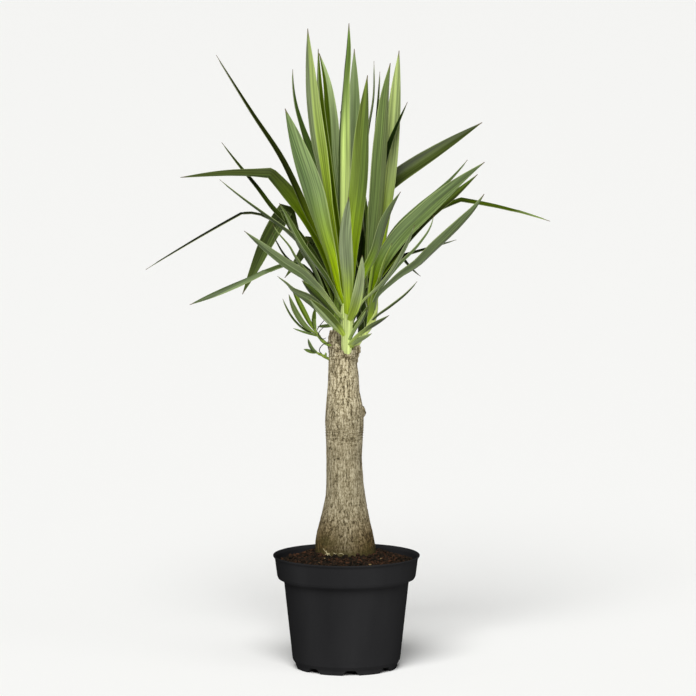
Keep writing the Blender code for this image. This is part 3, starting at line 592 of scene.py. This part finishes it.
def bladeShares(fold):  # stations along the blade, closer at its point and at a fold
    count = bladeForm["rings"]
    shares = [1 - (1 - k / count) ** bladeForm["closing"] for k in range(count + 1)]
    if fold:
        half = bladeForm["foldHalf"]
        shares = [s for s in shares if abs(s - fold) > 2 * half]
        shares += [fold - half, fold - half / 3, fold + half / 3, fold + half]
    return sorted(shares)


def shaded(code):  # the colour given to a leaf for a tone as seen, the tone's painted light and shade kept in it
    return [c * leafLook["shade"] for c in linear(code)[:3]] + [1.0]


def growBlade(leaf, head, seed):  # points, faces and the numbers that the material reads
    form = bladeForm
    columns = form["columns"]
    stem = head["stem"]
    line, fold = leafLine(leaf, stem)
    best = bestTurn(leaf, line, stem) if leaf["shown"] else None
    limeTo = leaf.get("limeTo", form["limeTo"])
    rings, places, sizes = [], [], []
    lean = 0.0
    for share in bladeShares(fold):
        middle, along, distance = alongLine(line, share)
        across, upper = bladeTurn(leaf, middle, along, share, stem, best)
        lean += across.x
        half = bladeWidth(leaf, share) / 2
        sunk = [2 * half * form["channel"] * (1 - abs(u) ** form["channelCurve"]) for u in columns]
        ring = [middle + across * half * u - upper * low for u, low in zip(columns, sunk)]
        for u, low in zip(reversed(columns), reversed(sunk)):
            rib = (form["ribThick"] - form["edgeThick"]) * (1 - abs(u)) ** form["ribCurve"]
            ring.append(middle + across * half * u - upper * (low + min(form["edgeThick"] + rib, half)))
        rings.append(ring)
        for u in (*columns, *reversed(columns)):
            places.append((u, share, seed))
            sizes.append((u * half, distance, share / limeTo))
    flip = -1 if lean < 0 else 1
    points, faces = skin(rings)
    places += [(0, 0, seed), (0, 1, seed)]
    sizes += [(0, 0, 0), (0, 400, 9)]
    places = [(u * flip, share, number) for u, share, number in places]
    foot = leaf.get("foot", head["foot"])
    feet = [shaded(code) for code in (leaf.get("footLeft", foot), foot)]
    split = leaf.get("split", 0)
    numbers = {"bladePlace": places, "bladeSize": sizes, "toneSplit": [split] * len(points),
               "toneFoot": [feet[place[0] > split] for place in places]}
    count = len(columns)
    # each side's tone, with its painted light and shade, and the underside's paler grey version of it
    for key, code in zip(("toneLeft", "toneRight"), leaf["tone"]):
        side = shaded(code)
        grey = sum(side[:3]) / 3 * form["bloomLight"]
        under = [c + (grey - c) * form["bloom"] for c in side[:3]] + [1.0]
        numbers[key] = ([side] * count + [under] * count) * len(rings) + [side, side]
    return points, faces, numbers


def growHead(name, head, node, sides=28):  # a stem and its blades as one piece
    form = bladeForm
    points, faces = skin(tubeRings(closer(head["stem"], form["stemSteps"]), sides, form["stemBumps"]))
    count = len(points)
    tone = [shaded(head["stemTone"])] * count
    numbers = {"bladePlace": [form["stemPlace"]] * count, "toneSplit": [0] * count,
               "bladeSize": [(p[0] * 1.5, p[2], 2) for p in points],
               "toneLeft": tone, "toneRight": tone, "toneFoot": tone}
    for k, leaf in enumerate(head["leaves"]):
        somePoints, someFaces, someNumbers = growBlade(leaf, head, form["seedStep"] * k)
        gather(points, faces, somePoints, someFaces)
        for key, values in someNumbers.items():
            numbers[key] = numbers[key] + values
    piece = addPiece(name, points, faces, leafSkin, [node], form["sharp"])
    setNumbers(piece, numbers)
    print(name, "has", len(head["leaves"]), "leaves and", len(faces), "faces")


leafSkin = waxyLeaf()
growHead("frontHead", frontHead, "head_front")
growHead("rightHead", rightHead, "head_right")
growHead("leftHead", leftHead, "head_left")
growHead("upperShoot", upperShoot, "sprout_upper", 14)
growHead("lowerShoot", lowerShoot, "sprout_lower", 14)


# Cane: corky yucca bark, split lengthwise as the stem thickened. The eye gets pale raised strips with
# dark furrows between them and level scars of old leaves. Its foot is painted darker and greener, which
# is painted shade, darkest down the sides of the flared base.
cane = {
    "stations": [  # height, radius, centre to the right
        (78, 17, -1), (80, 23.5, -1), (90, 29, -1), (109, 33, -1), (128, 35, -1), (138, 34.7, -1.1),
        (148, 33.8, -1.8), (160, 31.4, -1.9), (173, 28.2, -1.7), (186, 25.3, -1.4), (199, 23, -1.3),
        (214, 21.4, -1.7), (229, 20.7, -2.2), (245, 20.3, -2.8), (260, 20.8, -2.4), (275, 21.5, -2.3),
        (288, 22, -2.3), (300, 21.4, -2.2), (312, 19.8, -2.9), (326, 18, -3.4), (340, 17.3, -3.5),
        (353, 16.3, -4.2), (363, 16.4, -3.6), (371, 16.3, -3.4)],
    "around": 260,
    "rowGap": 0.95,
    "stationSteps": 6,
    "stripWidth": 4,
    "stripLength": 40,
    "bend": 1.2,  # how far the strips wind, and over what length
    "bendSize": 20,
    "fineWidth": 1.9,
    "fineLength": 6,
    "relief": 0.8,
    "roughEnds": (130, 150),  # smooth below the first height, rough above the second
    "scarDepth": 0.5,
    "contrast": [  # height and value
        (78, 0.8), (170, 0.74), (200, 0.52), (262, 0.54), (275, 0.52), (300, 0.72), (371, 0.8)],
    # the low values towards the foot paint shade there
    "light": [  # height and value
        (78, 0.42), (140, 0.45), (170, 0.61), (200, 0.71), (245, 0.74), (262, 0.79), (290, 0.82),
        (330, 1.01), (371, 1.01)],
    "crackWidth": 3.4,
    "crackLength": 12,
    "speckle": 1.5,
    "cloudScale": (45, 45, 30),
    "ringScale": (90, 90, 500),
    "crackSpan": (0, 0.07, -0.42, 0.16),  # a noise from and to, and what that adds to the tone
    "speckSpan": (0.28, 0.72, -0.34, 0.34),
    "ringSpan": (0.28, 0.72, -0.55, 0.35),
    "ringHeights": (272, 363),
    "ringSpreads": (10, 6),
    "pits": [(-13.5, 244, 0.7), (-10, 245.5, 0.8), (-8.6, 245, 0.6), (-19, 256.6, 0.8), (-17, 256, 0.7),
             (-12, 268, 0.6)],  # right, up and size
    "topSlope": (-0.22, 0.28),
    "dome": [(0.8, 0.9), (0.55, 2.4), (0.3, 3.4), (0.1, 3.9)],  # share of the way out, and lift
    "domeMiddle": -3.4,
    "stub": [(-10, 5, 353, 7), (-13.3, 5.5, 371, 8), (-13.3, 6, 381, 7.4), (-13, 7, 391, 6.2)],
    "knobSteps": 9,
    "knobSides": 40,
    "knobBumps": 1.2,
    "sharp": 70,
    "knobs": [[(8, 0, 356, 5), (10, -2, 363, 4.6), (12, -3, 370, 4.5), (11.5, -3, 374, 2.8)],
              [(15, -2, 306, 1.6), (17.6, -2, 301.5, 3), (19.4, -2, 298.3, 3.1), (18.6, -2, 294.5, 2.6),
               (17, -2, 290, 2)],
              [(-8, -9, 367, 5), (-11, -9, 372, 4.6), (-12, -8.5, 377, 2.6)]],
    "evenTone": 0.4,
    "furrow": "4c4330",
    "dull": "766b50",
    "strip": "9a8f72",
    "crest": "cdc3a6",
    # the next two are painted shade: a warm darkening multiplied in down the flared base, most at its sides,
    # and a darker green over the foot
    "baseShade": "d2b886",
    "footShade": "3f3a1c",
    # heights and a spot over which the painted shade at the foot fades out
    "baseShadeEnds": (135, 200),
    "footShadeEnds": (140, 175),
    "footEnds": (135, 146),
    "footShadeSpot": (-24, 150),
    "spotEnds": (3, 11),
}


def corkyBark():
    made, tree, shader = startMaterial("corkyBark", {
        "Roughness": 0.88, "IOR": 1.4, "Specular IOR Level": 0.2})
    read = {name: addNode(tree, "Attribute", {"attribute_name": name}).outputs for name in (
        "barkRise", "barkMarks", "barkWays")}
    marks = addNode(tree, "SeparateXYZ", links={0: read["barkMarks"]["Vector"]}).outputs
    ways = addNode(tree, "SeparateXYZ", links={0: read["barkWays"]["Vector"]}).outputs
    place = addNode(tree, "TexCoord").outputs["Object"]
    across, along, dots = (1 / (cane[key] * mm) for key in ("crackWidth", "crackLength", "speckle"))
    values = []
    for scale, detail in (((across, across, along), 4), ((dots, dots, 0.7 * dots), 2),
                          (cane["cloudScale"], 3), (cane["ringScale"], 3)):
        stretched = addNode(tree, "Mapping", {"Scale": scale}, {"Vector": place})
        values.append(addNode(tree, "TexNoise", {"Scale": 1, "Detail": detail, "Roughness": 0.6}, {
            "Vector": stretched}))
    grain, specks, clouds, rings = values
    offCentre = addNode(tree, "Math", {"operation": "SUBTRACT", 1: 0.5}, {0: grain})
    crack = addNode(tree, "Math", {"operation": "ABSOLUTE"}, {0: offCentre})
    shares = []
    for source, key in ((crack, "crackSpan"), (specks, "speckSpan"), (rings, "ringSpan")):
        first, last, low, high = cane[key]
        shares.append(addNode(tree, "MapRange", {
            "From Min": first, "From Max": last, "To Min": low, "To Max": high}, {"Value": source}))
    ringShare = addNode(tree, "Math", {"operation": "MULTIPLY"}, {0: shares[2], 1: marks["Y"]})
    total = addNode(tree, "Math", {"operation": "MULTIPLY_ADD", 1: 0.5}, {
        0: read["barkRise"]["Fac"], 2: shares[0]})
    for more in (shares[1], ringShare):
        total = addNode(tree, "Math", {"operation": "ADD"}, {0: total, 1: more})
    total = addNode(tree, "Mix", {2: cane["evenTone"]}, {0: ways["X"], 3: total})
    total = addNode(tree, "Math", {"operation": "SUBTRACT"}, {0: total, 1: marks["Z"]})
    stops = [(0, cane["furrow"]), (0.12, cane["dull"]), (0.35, cane["strip"]), (0.75, cane["crest"])]
    colour = addNode(tree, "ValToRGB", {"ramp": stops}, {0: total})
    cloud = addNode(tree, "MapRange", {"From Min": 0.3, "From Max": 0.7, "To Min": 0.9, "To Max": 1.1}, {
        "Value": clouds})
    light = addNode(tree, "Math", {"operation": "MULTIPLY"}, {0: cloud, 1: marks["X"]})
    toned = addNode(tree, "HueSaturation", links={"Color": colour, "Value": light})
    # painted shade: darker down the flared base, most at its sides, and darker and greener at the foot
    baseShade = addNode(tree, "Mix", {"data_type": "RGBA", "blend_type": "MULTIPLY", 7: linear(cane["baseShade"])}, {
        0: ways["Y"], 6: toned})
    footShaded = addNode(tree, "Mix", {"data_type": "RGBA", 7: linear(cane["footShade"])}, {
        0: ways["Z"], 6: baseShade.outputs[2]})
    relief = addNode(tree, "Bump", {"Strength": 0.6, "Distance": 0.0005}, {"Height": shares[0]})
    feed(tree, shader, {"Base Color": footShaded.outputs[2], "Normal": relief})
    return made


def barkRise(place):  # 0 in a furrow, 1 on a strip between two furrows
    wide, long = cane["stripWidth"], cane["stripLength"]
    bend = place / cane["bendSize"]
    bent = place + cane["bend"] * Vector((noise.noise(bend), noise.noise(bend + Vector((9, 0, 0))), 0))
    broad = abs(noise.noise(Vector((bent.x / wide, bent.y / wide, bent.z / long))))
    wide, long = cane["fineWidth"], cane["fineLength"]
    fine = noise.noise(Vector((place.x / wide, place.y / wide, place.z / long)))
    return min(max(ease(0, 0.25, broad) * 0.6 + 0.3 * fine + 0.25, 0), 1)


def ringZone(height):  # how strongly old leaf scars ring the cane at a height
    low, high = cane["ringHeights"]
    wide, narrow = cane["ringSpreads"]
    return math.exp(-((height - low) / wide) ** 2) + 0.5 * math.exp(-((height - high) / narrow) ** 2)


# the bark is made darker towards the foot, which is painted shade
def barkMarks(place):  # how light the bark is, ring scars, and dark pits
    pit = 0.0
    if place.y < 0:
        for right, up, size in cane["pits"]:
            pit = max(pit, math.exp(-((place.x - right) ** 2 + (place.z - up) ** 2) / size ** 2))
    return (between(cane["light"], place.z)[0], min(0.3 + ringZone(place.z), 1.2), pit)


def barkWays(place):  # contrast, and how much painted shade darkens the flared base and greens the foot
    # painted shade on the flared base, stronger away from its middle, and greener painted shade at the foot
    # and in a spot low on the left of the front
    fromMiddle = min(abs(place.x + 1) / 28, 1)
    baseShade = (1 - ease(*cane["baseShadeEnds"], place.z)) * (0.35 + 0.65 * fromMiddle)
    cloud = noise.noise(place / 9) + 0.5 * noise.noise(place / 4) + (0.3 if place.x < -8 else -0.1)
    footShade = 0.5 * (1 - ease(*cane["footShadeEnds"], place.z)) * ease(-0.1, 0.5, cloud)
    footShade = max(footShade, 0.75 * (1 - ease(*cane["footEnds"], place.z)))
    if place.y < 0:
        fromSpot = math.dist((place.x, place.z), cane["footShadeSpot"])
        footShade = max(footShade, 0.6 * (1 - ease(*cane["spotEnds"], fromSpot)))
    return (between(cane["contrast"], place.z)[0], baseShade, footShade)


def growCane():
    shape = cane
    low, high = shape["stations"][0][0], shape["stations"][-1][0]
    rows = int((high - low) / shape["rowGap"])
    finer = closer([(r, c, h) for h, r, c in shape["stations"]], shape["stationSteps"])
    finer = [(h, r, c) for r, c, h in finer]
    rings, rises, marks, ways = [], [], [], []

    def note(place, rise):
        rises.append(rise)
        marks.append(barkMarks(place))
        ways.append(barkWays(place))

    for row in range(rows + 1):
        height = low + (high - low) * row / rows
        radius, centre = between(finer, height)
        rough = ease(*shape["roughEnds"], height)
        ring = []
        for i in range(shape["around"]):
            turn = 2 * math.pi * i / shape["around"]
            way = Vector((math.cos(turn), math.sin(turn), 0))
            place = Vector((centre, 0, height)) + radius * way
            rise = barkRise(place)
            scar = ringZone(height) * shape["scarDepth"] * math.sin(height * 2.1 + 2 * noise.noise(place / 9))
            reach = radius + rough * (shape["relief"] * (rise - 0.55) + scar)
            spot = Vector((centre + reach * way.x, reach * way.y, height))
            if row == rows:
                slopeX, slopeY = shape["topSlope"]
                spot.z += slopeX * (spot.x - centre) + slopeY * spot.y
            ring.append(spot)
            note(spot, rise)
        rings.append(ring)
    middle = Vector((shape["domeMiddle"], 0, high))
    for share, lift in shape["dome"]:  # the top between the stems
        ring = []
        for spot in rings[rows]:
            place = middle + (spot - middle) * share
            place.z += lift + 0.7 * noise.noise(place / 4)
            ring.append(place)
            note(place, 0.45 + 0.4 * noise.noise(place / 2))
        rings.append(ring)
    points, faces = skin(rings)
    for place in points[len(rises):]:
        note(Vector(place), 0.4)
    for stations in (shape["stub"], *shape["knobs"]):
        finer = closer(stations, shape["knobSteps"])
        somePoints, someFaces = skin(tubeRings(finer, shape["knobSides"], shape["knobBumps"]))
        somePoints = [Vector(p) for p in somePoints]
        for place in somePoints:
            note(place, barkRise(place))
        gather(points, faces, somePoints, someFaces)
    piece = addPiece("barkCane", points, faces, corkyBark(), ["cane"], shape["sharp"])
    setNumbers(piece, {"barkRise": rises, "barkMarks": marks, "barkWays": ways})
    print("cane has", len(faces), "faces")


growCane()


# Pot: black polypropylene, injection moulded in one shot. The eye gets an even black with no sheen, soft
# rounded edges, a lighter line on the rim and the slanted ends of the drainage channels.
pot = {
    "around": 192,
    "wall": 1.5,
    "outline": [  # radius and height, up the outside from the foot and down the inside
        (41, 0), (58.5, 0), (59.2, 5), (62.4, 10), (72.3, 101.5), (74.8, 102.5), (79, 104.5), (80.2, 107.5),
        (82.8, 127.5), (84.5, 129.5), (85, 130.7), (84.4, 131.5), (82.8, 130.9), (81.2, 128), (78.6, 107.8),
        (77.6, 106), (73.6, 104.1), (70.8, 102.1), (60.8, 10.5), (57.2, 5.4), (56.8, 1.5), (39.5, 1.5),
        (36.5, 7.5)],
    "under": (38, 6),
    "corner": 0.6,
    "sharp": 32,
    "channels": 8,
    "channelTurn": -85,
    "channelHeight": 5.8,
    "channelTop": 10,
    "channelFoot": 20,
    "channelReach": (36, 67),
    "wallReach": (38.5, 57),
    "drainRadius": 3.5,
    "drainFromAxis": 48,
    "drainHeights": (3, 11),
    "drainSides": 24,
    "tone": "1f1f20",
    "scuffed": "282829",
    "roughness": 0.55,
    "grain": 900,
    "flowScale": (14, 14, 3),
}


def mouldedPolypropylene():
    made, tree, shader = startMaterial("mouldedPolypropylene", {"IOR": 1.49, "Specular IOR Level": 0})
    place = addNode(tree, "TexCoord").outputs["Object"]
    grain = addNode(tree, "TexNoise", {"Scale": pot["grain"], "Detail": 2}, {"Vector": place})
    flow = addNode(tree, "Mapping", {"Scale": pot["flowScale"]}, {"Vector": place})
    clouds = addNode(tree, "TexNoise", {"Scale": 1, "Detail": 4}, {"Vector": flow})
    tone = addNode(tree, "ValToRGB", {"ramp": [(0.35, pot["tone"]), (0.75, pot["scuffed"])]}, {0: clouds})
    dull = addNode(tree, "MapRange", {
        "From Min": 0.3, "From Max": 0.7, "To Min": pot["roughness"] - 0.05,
        "To Max": pot["roughness"] + 0.07}, {"Value": clouds})
    relief = addNode(tree, "Bump", {"Strength": 0.12, "Distance": 0.0002}, {"Height": grain})
    feed(tree, shader, {"Base Color": tone, "Roughness": dull, "Normal": relief})
    return made


def softened(outline, radius, steps=4):  # each corner of an outline turned into a small curve
    made = [outline[0]]
    for a, b, c in zip(outline, outline[1:], outline[2:]):
        a, b, c = Vector(a), Vector(b), Vector(c)
        enter = b + (a - b) * min(radius / (a - b).length, 0.45)
        leave = b + (c - b) * min(radius / (c - b).length, 0.45)
        for k in range(steps + 1):
            t = k / steps
            made.append(tuple(enter * (1 - t) ** 2 + b * 2 * t * (1 - t) + leave * t ** 2))
    return made + [outline[-1]]


def channelPrism(turn, wall, start, end):  # one slanted drainage channel, or its walls
    along = Vector((math.cos(turn), math.sin(turn), 0))
    side = Vector((-math.sin(turn), math.cos(turn), 0))
    low = 0 if wall else -1
    high = pot["channelHeight"] + wall
    spread = (pot["channelFoot"] - pot["channelTop"]) / 2 / pot["channelHeight"]
    lowHalf = pot["channelFoot"] / 2 - spread * low + wall
    topHalf = pot["channelTop"] / 2 + wall
    section = [(-lowHalf, low), (lowHalf, low), (topHalf, high), (-topHalf, high)]
    return [[along * r + side * s + Vector((0, 0, z)) for s, z in section] for r in (start, end)]


def drainRings(turn):
    x, y = pot["drainFromAxis"] * math.cos(turn), pot["drainFromAxis"] * math.sin(turn)
    rings = [circle(pot["drainRadius"], height, pot["drainSides"], x, y) for height in pot["drainHeights"]]
    return [[Vector(p) for p in ring] for ring in rings]


def carve(piece, ringSets, operation):  # joins or cuts a piece with lofts, and applies it
    helper = bpy.data.collections.new("helper")
    for rings in ringSets:
        points, faces = skin(rings)
        mesh = bpy.data.meshes.new("helper")
        mesh.from_pydata([tuple(c * mm for c in p) for p in points], [], faces)
        shape = bmesh.new()
        shape.from_mesh(mesh)
        bmesh.ops.recalc_face_normals(shape, faces=shape.faces)
        shape.to_mesh(mesh)
        shape.free()
        helper.objects.link(bpy.data.objects.new("helper", mesh))
    bpy.context.scene.collection.children.link(helper)
    step = piece.modifiers.new("carve", "BOOLEAN")
    step.operation = operation
    step.solver = "MANIFOLD"
    step.operand_type = "COLLECTION"
    step.collection = helper
    bpy.context.view_layer.update()
    done = bpy.data.meshes.new_from_object(piece.evaluated_get(bpy.context.evaluated_depsgraph_get()))
    piece.modifiers.clear()
    piece.data = done
    for other in list(helper.objects):
        bpy.data.objects.remove(other)
    bpy.data.collections.remove(helper)


def mouldPot():
    outline = softened([pot["under"], *pot["outline"]], pot["corner"])
    points, faces = skin([circle(radius, height, pot["around"]) for radius, height in outline])
    piece = addPiece("mouldedPot", points, faces, mouldedPolypropylene(), ["pot"], pot["sharp"])
    turns = [math.radians(pot["channelTurn"] + 360 / pot["channels"] * k) for k in range(pot["channels"])]
    carve(piece, [channelPrism(t, pot["wall"], *pot["wallReach"]) for t in turns], "UNION")
    carve(piece, [channelPrism(t, 0, *pot["channelReach"]) for t in turns], "DIFFERENCE")
    carve(piece, [drainRings(t) for t in turns], "DIFFERENCE")
    piece.data.shade_smooth()
    piece.data.set_sharp_from_angle(angle=math.radians(pot["sharp"]))
    print("pot has", len(piece.data.polygons), "faces")


mouldPot()


# Soil: peat potting compost with bark fines, tipped in and watered down. The eye gets dark crumbs of
# every size, reddish ones among them, a few pale chips and a mound against the cane.
soil = {
    "around": 240,
    "rows": 70,
    "edge": 122.5,
    "crown": 134.5,
    "hole": 33.5,
    "holeMiddle": -1,
    "tuck": 3,  # how far the top goes on inside the cane
    "wall": [(52.5, 7.8), (56.9, 9), (60.5, 10.5), (70.5, 102.1), (73.3, 104.1), (77.3, 106), (78.3, 107.8),
             (79.9, 121)],
    "rim": 79.9,
    "roughness": 1.5,
    "sharp": 70,
    # dark peat, made darker still to paint the shade that the pot's rim casts on the soil
    "tones": ("070604", "1c160e", "4c3020"),
    "grain": 260,
    "clear": (1, 2.5),  # how far crumbs and chips stay from the hole and from the pot's wall
    "smallMore": 2.2,  # a higher number gives more small ones
    "lumpSharp": 60,
}

# flat: a lump's height against its width, from and to
crumbs = {"count": 1500, "size": (0.9, 2.6), "flat": (0.5, 0.9), "tones": soil["tones"], "grain": 120}
chips = {"count": 30, "size": (0.8, 2.2), "flat": (0.25, 0.5), "tones": ("6d5a3a", "77664a"), "grain": 90}


def peat(name, codes, grain):
    made, tree, shader = startMaterial(name, {"Roughness": 0.95, "IOR": 1.35, "Specular IOR Level": 0.2})
    place = addNode(tree, "TexCoord").outputs["Object"]
    clods = addNode(tree, "TexNoise", {"Scale": grain, "Detail": 5, "Roughness": 0.7}, {"Vector": place})
    stops = [(0.32 + 0.36 * k / (len(codes) - 1), code) for k, code in enumerate(codes)]
    colour = addNode(tree, "ValToRGB", {"ramp": stops}, {0: clods})
    relief = addNode(tree, "Bump", {"Strength": 0.9, "Distance": 0.0008}, {"Height": clods})
    feed(tree, shader, {"Base Color": colour, "Normal": relief})
    return made


def holeEdge(turn, radius):  # a point round the middle of the cane's hole
    return Vector((soil["holeMiddle"] + radius * math.cos(turn), radius * math.sin(turn)))


def soilTop(x, y):
    inner = holeEdge(math.atan2(y, x), soil["hole"])
    share = 1 - ease(inner.length, soil["rim"], math.hypot(x, y))
    rise = soil["edge"] + (soil["crown"] - soil["edge"]) * share
    rough = 0.0
    for size, part in ((9, 1), (4, 0.7), (1.8, 0.35)):
        rough += part * noise.noise(Vector((x / size, y / size, size)))
    return rise + soil["roughness"] * rough


def fillSoil():
    count = soil["around"]
    rings = [circle(radius, height, count) for radius, height in soil["wall"]]
    for row in range(soil["rows"] + 1):
        ring = []
        for turn in (2 * math.pi * i / count for i in range(count)):
            outer = Vector((soil["rim"] * math.cos(turn), soil["rim"] * math.sin(turn)))
            spot = outer.lerp(holeEdge(turn, soil["hole"] - soil["tuck"]), row / soil["rows"])
            ring.append((spot.x, spot.y, soilTop(spot.x, spot.y)))
        rings.append(ring)
    points, faces = skin(rings)
    mixed = peat("peatCompost", soil["tones"], soil["grain"])
    addPiece("soilBed", points, faces, mixed, ["soil"], soil["sharp"])
    print("soil has", len(faces), "faces")


def lump(centre, size, flat):  # one crumb: an icosphere pushed about
    shape = bmesh.new()
    bmesh.ops.create_icosphere(shape, subdivisions=1, radius=1)
    spin = random.uniform(0, math.tau)
    drift = Vector([random.uniform(0, 50) for _ in range(3)])
    made = []
    for vert in shape.verts:
        p = vert.co * (1 + 0.45 * noise.noise(vert.co * 1.3 + drift))
        p = Vector((p.x * math.cos(spin) - p.y * math.sin(spin),
                    p.x * math.sin(spin) + p.y * math.cos(spin), p.z * flat))
        made.append(Vector(centre) + p * size)
    faces = [tuple(v.index for v in face.verts) for face in shape.faces]
    shape.free()
    return made, faces


def scatter(name, made, lumps):
    points, faces = [], []
    fromHole, fromWall = soil["clear"]
    low, high = lumps["size"]
    for _ in range(lumps["count"]):
        turn = random.uniform(0, math.tau)
        radius = math.sqrt(random.uniform((soil["hole"] + fromHole) ** 2, (soil["rim"] - fromWall) ** 2))
        x, y = radius * math.cos(turn), radius * math.sin(turn)
        size = low + (high - low) * random.random() ** soil["smallMore"]
        centre = (x, y, soilTop(x, y) + size * 0.25)
        gather(points, faces, *lump(centre, size, random.uniform(*lumps["flat"])))
    addPiece(name, points, faces, peat(made, lumps["tones"], lumps["grain"]), sharp=soil["lumpSharp"])
    print(name, "has", len(faces), "faces")


random.seed(11)
fillSoil()
scatter("soilCrumbs", "barkFines", crumbs)
scatter("soilChips", "paleChips", chips)


# Dry threads: dead leaf edges that curl left of the stub, and pale fibres at the cane's foot.
threads = {
    "dark": [
        [(-20, -3, 400), (-29, -4, 393), (-32, -4, 388), (-30.5, -4, 384), (-27, -3, 382), (-23.5, -2, 383)],
        [(-20, -2, 377), (-26, -3, 376), (-30, -4, 372), (-31, -4, 368), (-28, -4, 365)],
        [(-25, -3, 404), (-30, -4, 398), (-33, -4, 394), (-34, -4, 391)],
    ],
    "darkRadius": 0.55,
    "pale": [
        [(-27, -24, 142), (-22, -28, 137), (-17, -31, 134)],
        [(-23, -27, 140), (-22, -29, 136), (-21, -32, 133)],
        [(-14, -31, 135), (-21, -29, 137), (-27, -28, 134)],
        [(-15, -32, 138.3), (-13, -33, 137), (-11.5, -33.5, 137.4)],
        [(-9, -34, 137), (-6, -34.5, 138), (-3, -35, 136.4)],
    ],
    "paleRadius": 0.32,
    "darkTone": "1c170e",
    "paleTone": "b3a780",
    "grain": 400,
    "steps": 6,
    "sides": 8,
}


def layThreads(name, lines, radius, code):
    made, tree, shader = startMaterial(name + "Fibre", {"Roughness": 0.8})
    place = addNode(tree, "TexCoord").outputs["Object"]
    streaks = addNode(tree, "TexNoise", {"Scale": threads["grain"], "Detail": 2}, {"Vector": place})
    light = addNode(tree, "MapRange", {"To Min": 0.6, "To Max": 1.4}, {"Value": streaks})
    toned = addNode(tree, "HueSaturation", {"Color": linear(code)}, {"Value": light})
    feed(tree, shader, {"Base Color": toned})
    points, faces = [], []
    for line in lines:
        stations = closer([(*p, radius) for p in line], threads["steps"])
        last = len(stations) - 1
        stations = [(x, y, z, r * (0.35 + 0.65 * math.sin(math.pi * (0.1 + 0.8 * k / last))))
                    for k, (x, y, z, r) in enumerate(stations)]
        gather(points, faces, *skin(tubeRings(stations, threads["sides"])))
    addPiece(name, points, faces, made)


layThreads("dryThreads", threads["dark"], threads["darkRadius"], threads["darkTone"])
layThreads("paleFibres", threads["pale"], threads["paleRadius"], threads["paleTone"])
print("threads laid")


# Studio: a pale floor, even white surroundings, and broad soft lights from the front and above.
studio = {
    "floor": "f4f4f2",
    "floorSize": 900,
    "surround": 0.06,
    "lights": [  # name, strength, softness in degrees, direction the light comes from
        ("key", 4.0, 40, (-0.15, -1.0, 1.0)),
        ("fill", 0.6, 60, (0.8, -1.0, 0.7)),
    ],
    "eye": (0.0018, -4.048, 0.7795),
    "tiltDown": 5.76,
    "farthest": 1500,
    "lens": 183.05,  # this and the sensor's width are in millimetres
    "sensor": 36,
}


def buildStudio():
    scene = bpy.context.scene
    half = studio["floorSize"] / 2
    corners = [(-half, -half, 0), (half, -half, 0), (half, half, 0), (-half, half, 0)]
    mesh = bpy.data.meshes.new("floor")
    mesh.from_pydata(corners, [], [(0, 1, 2, 3)])
    floor = bpy.data.objects.new("floor", mesh)
    scene.collection.objects.link(floor)
    mesh.materials.append(startMaterial("paleFloor", {
        "Roughness": 0.9, "Specular IOR Level": 0.1, "Base Color": linear(studio["floor"])})[0])
    world = bpy.data.worlds.new("surround")
    scene.world = world
    world.use_nodes = True
    background = world.node_tree.nodes["Background"]
    background.inputs["Color"].default_value = (1, 1, 1, 1)
    background.inputs["Strength"].default_value = studio["surround"]
    for name, strength, softness, source in studio["lights"]:
        light = bpy.data.lights.new(name, "SUN")
        light.energy = strength
        light.angle = math.radians(softness)
        lamp = bpy.data.objects.new(name, light)
        lamp.rotation_euler = Vector(source).to_track_quat("Z", "Y").to_euler()
        scene.collection.objects.link(lamp)
    camera = bpy.data.cameras.new("camera")
    camera.lens = studio["lens"]
    camera.sensor_width = studio["sensor"]
    camera.clip_end = studio["farthest"]
    eye = bpy.data.objects.new("camera", camera)
    eye.location = studio["eye"]
    eye.rotation_euler = (math.radians(90 - studio["tiltDown"]), 0, 0)
    scene.collection.objects.link(eye)
    scene.camera = eye
    scene.view_settings.view_transform = "Standard"
    print("studio ready")


buildStudio()
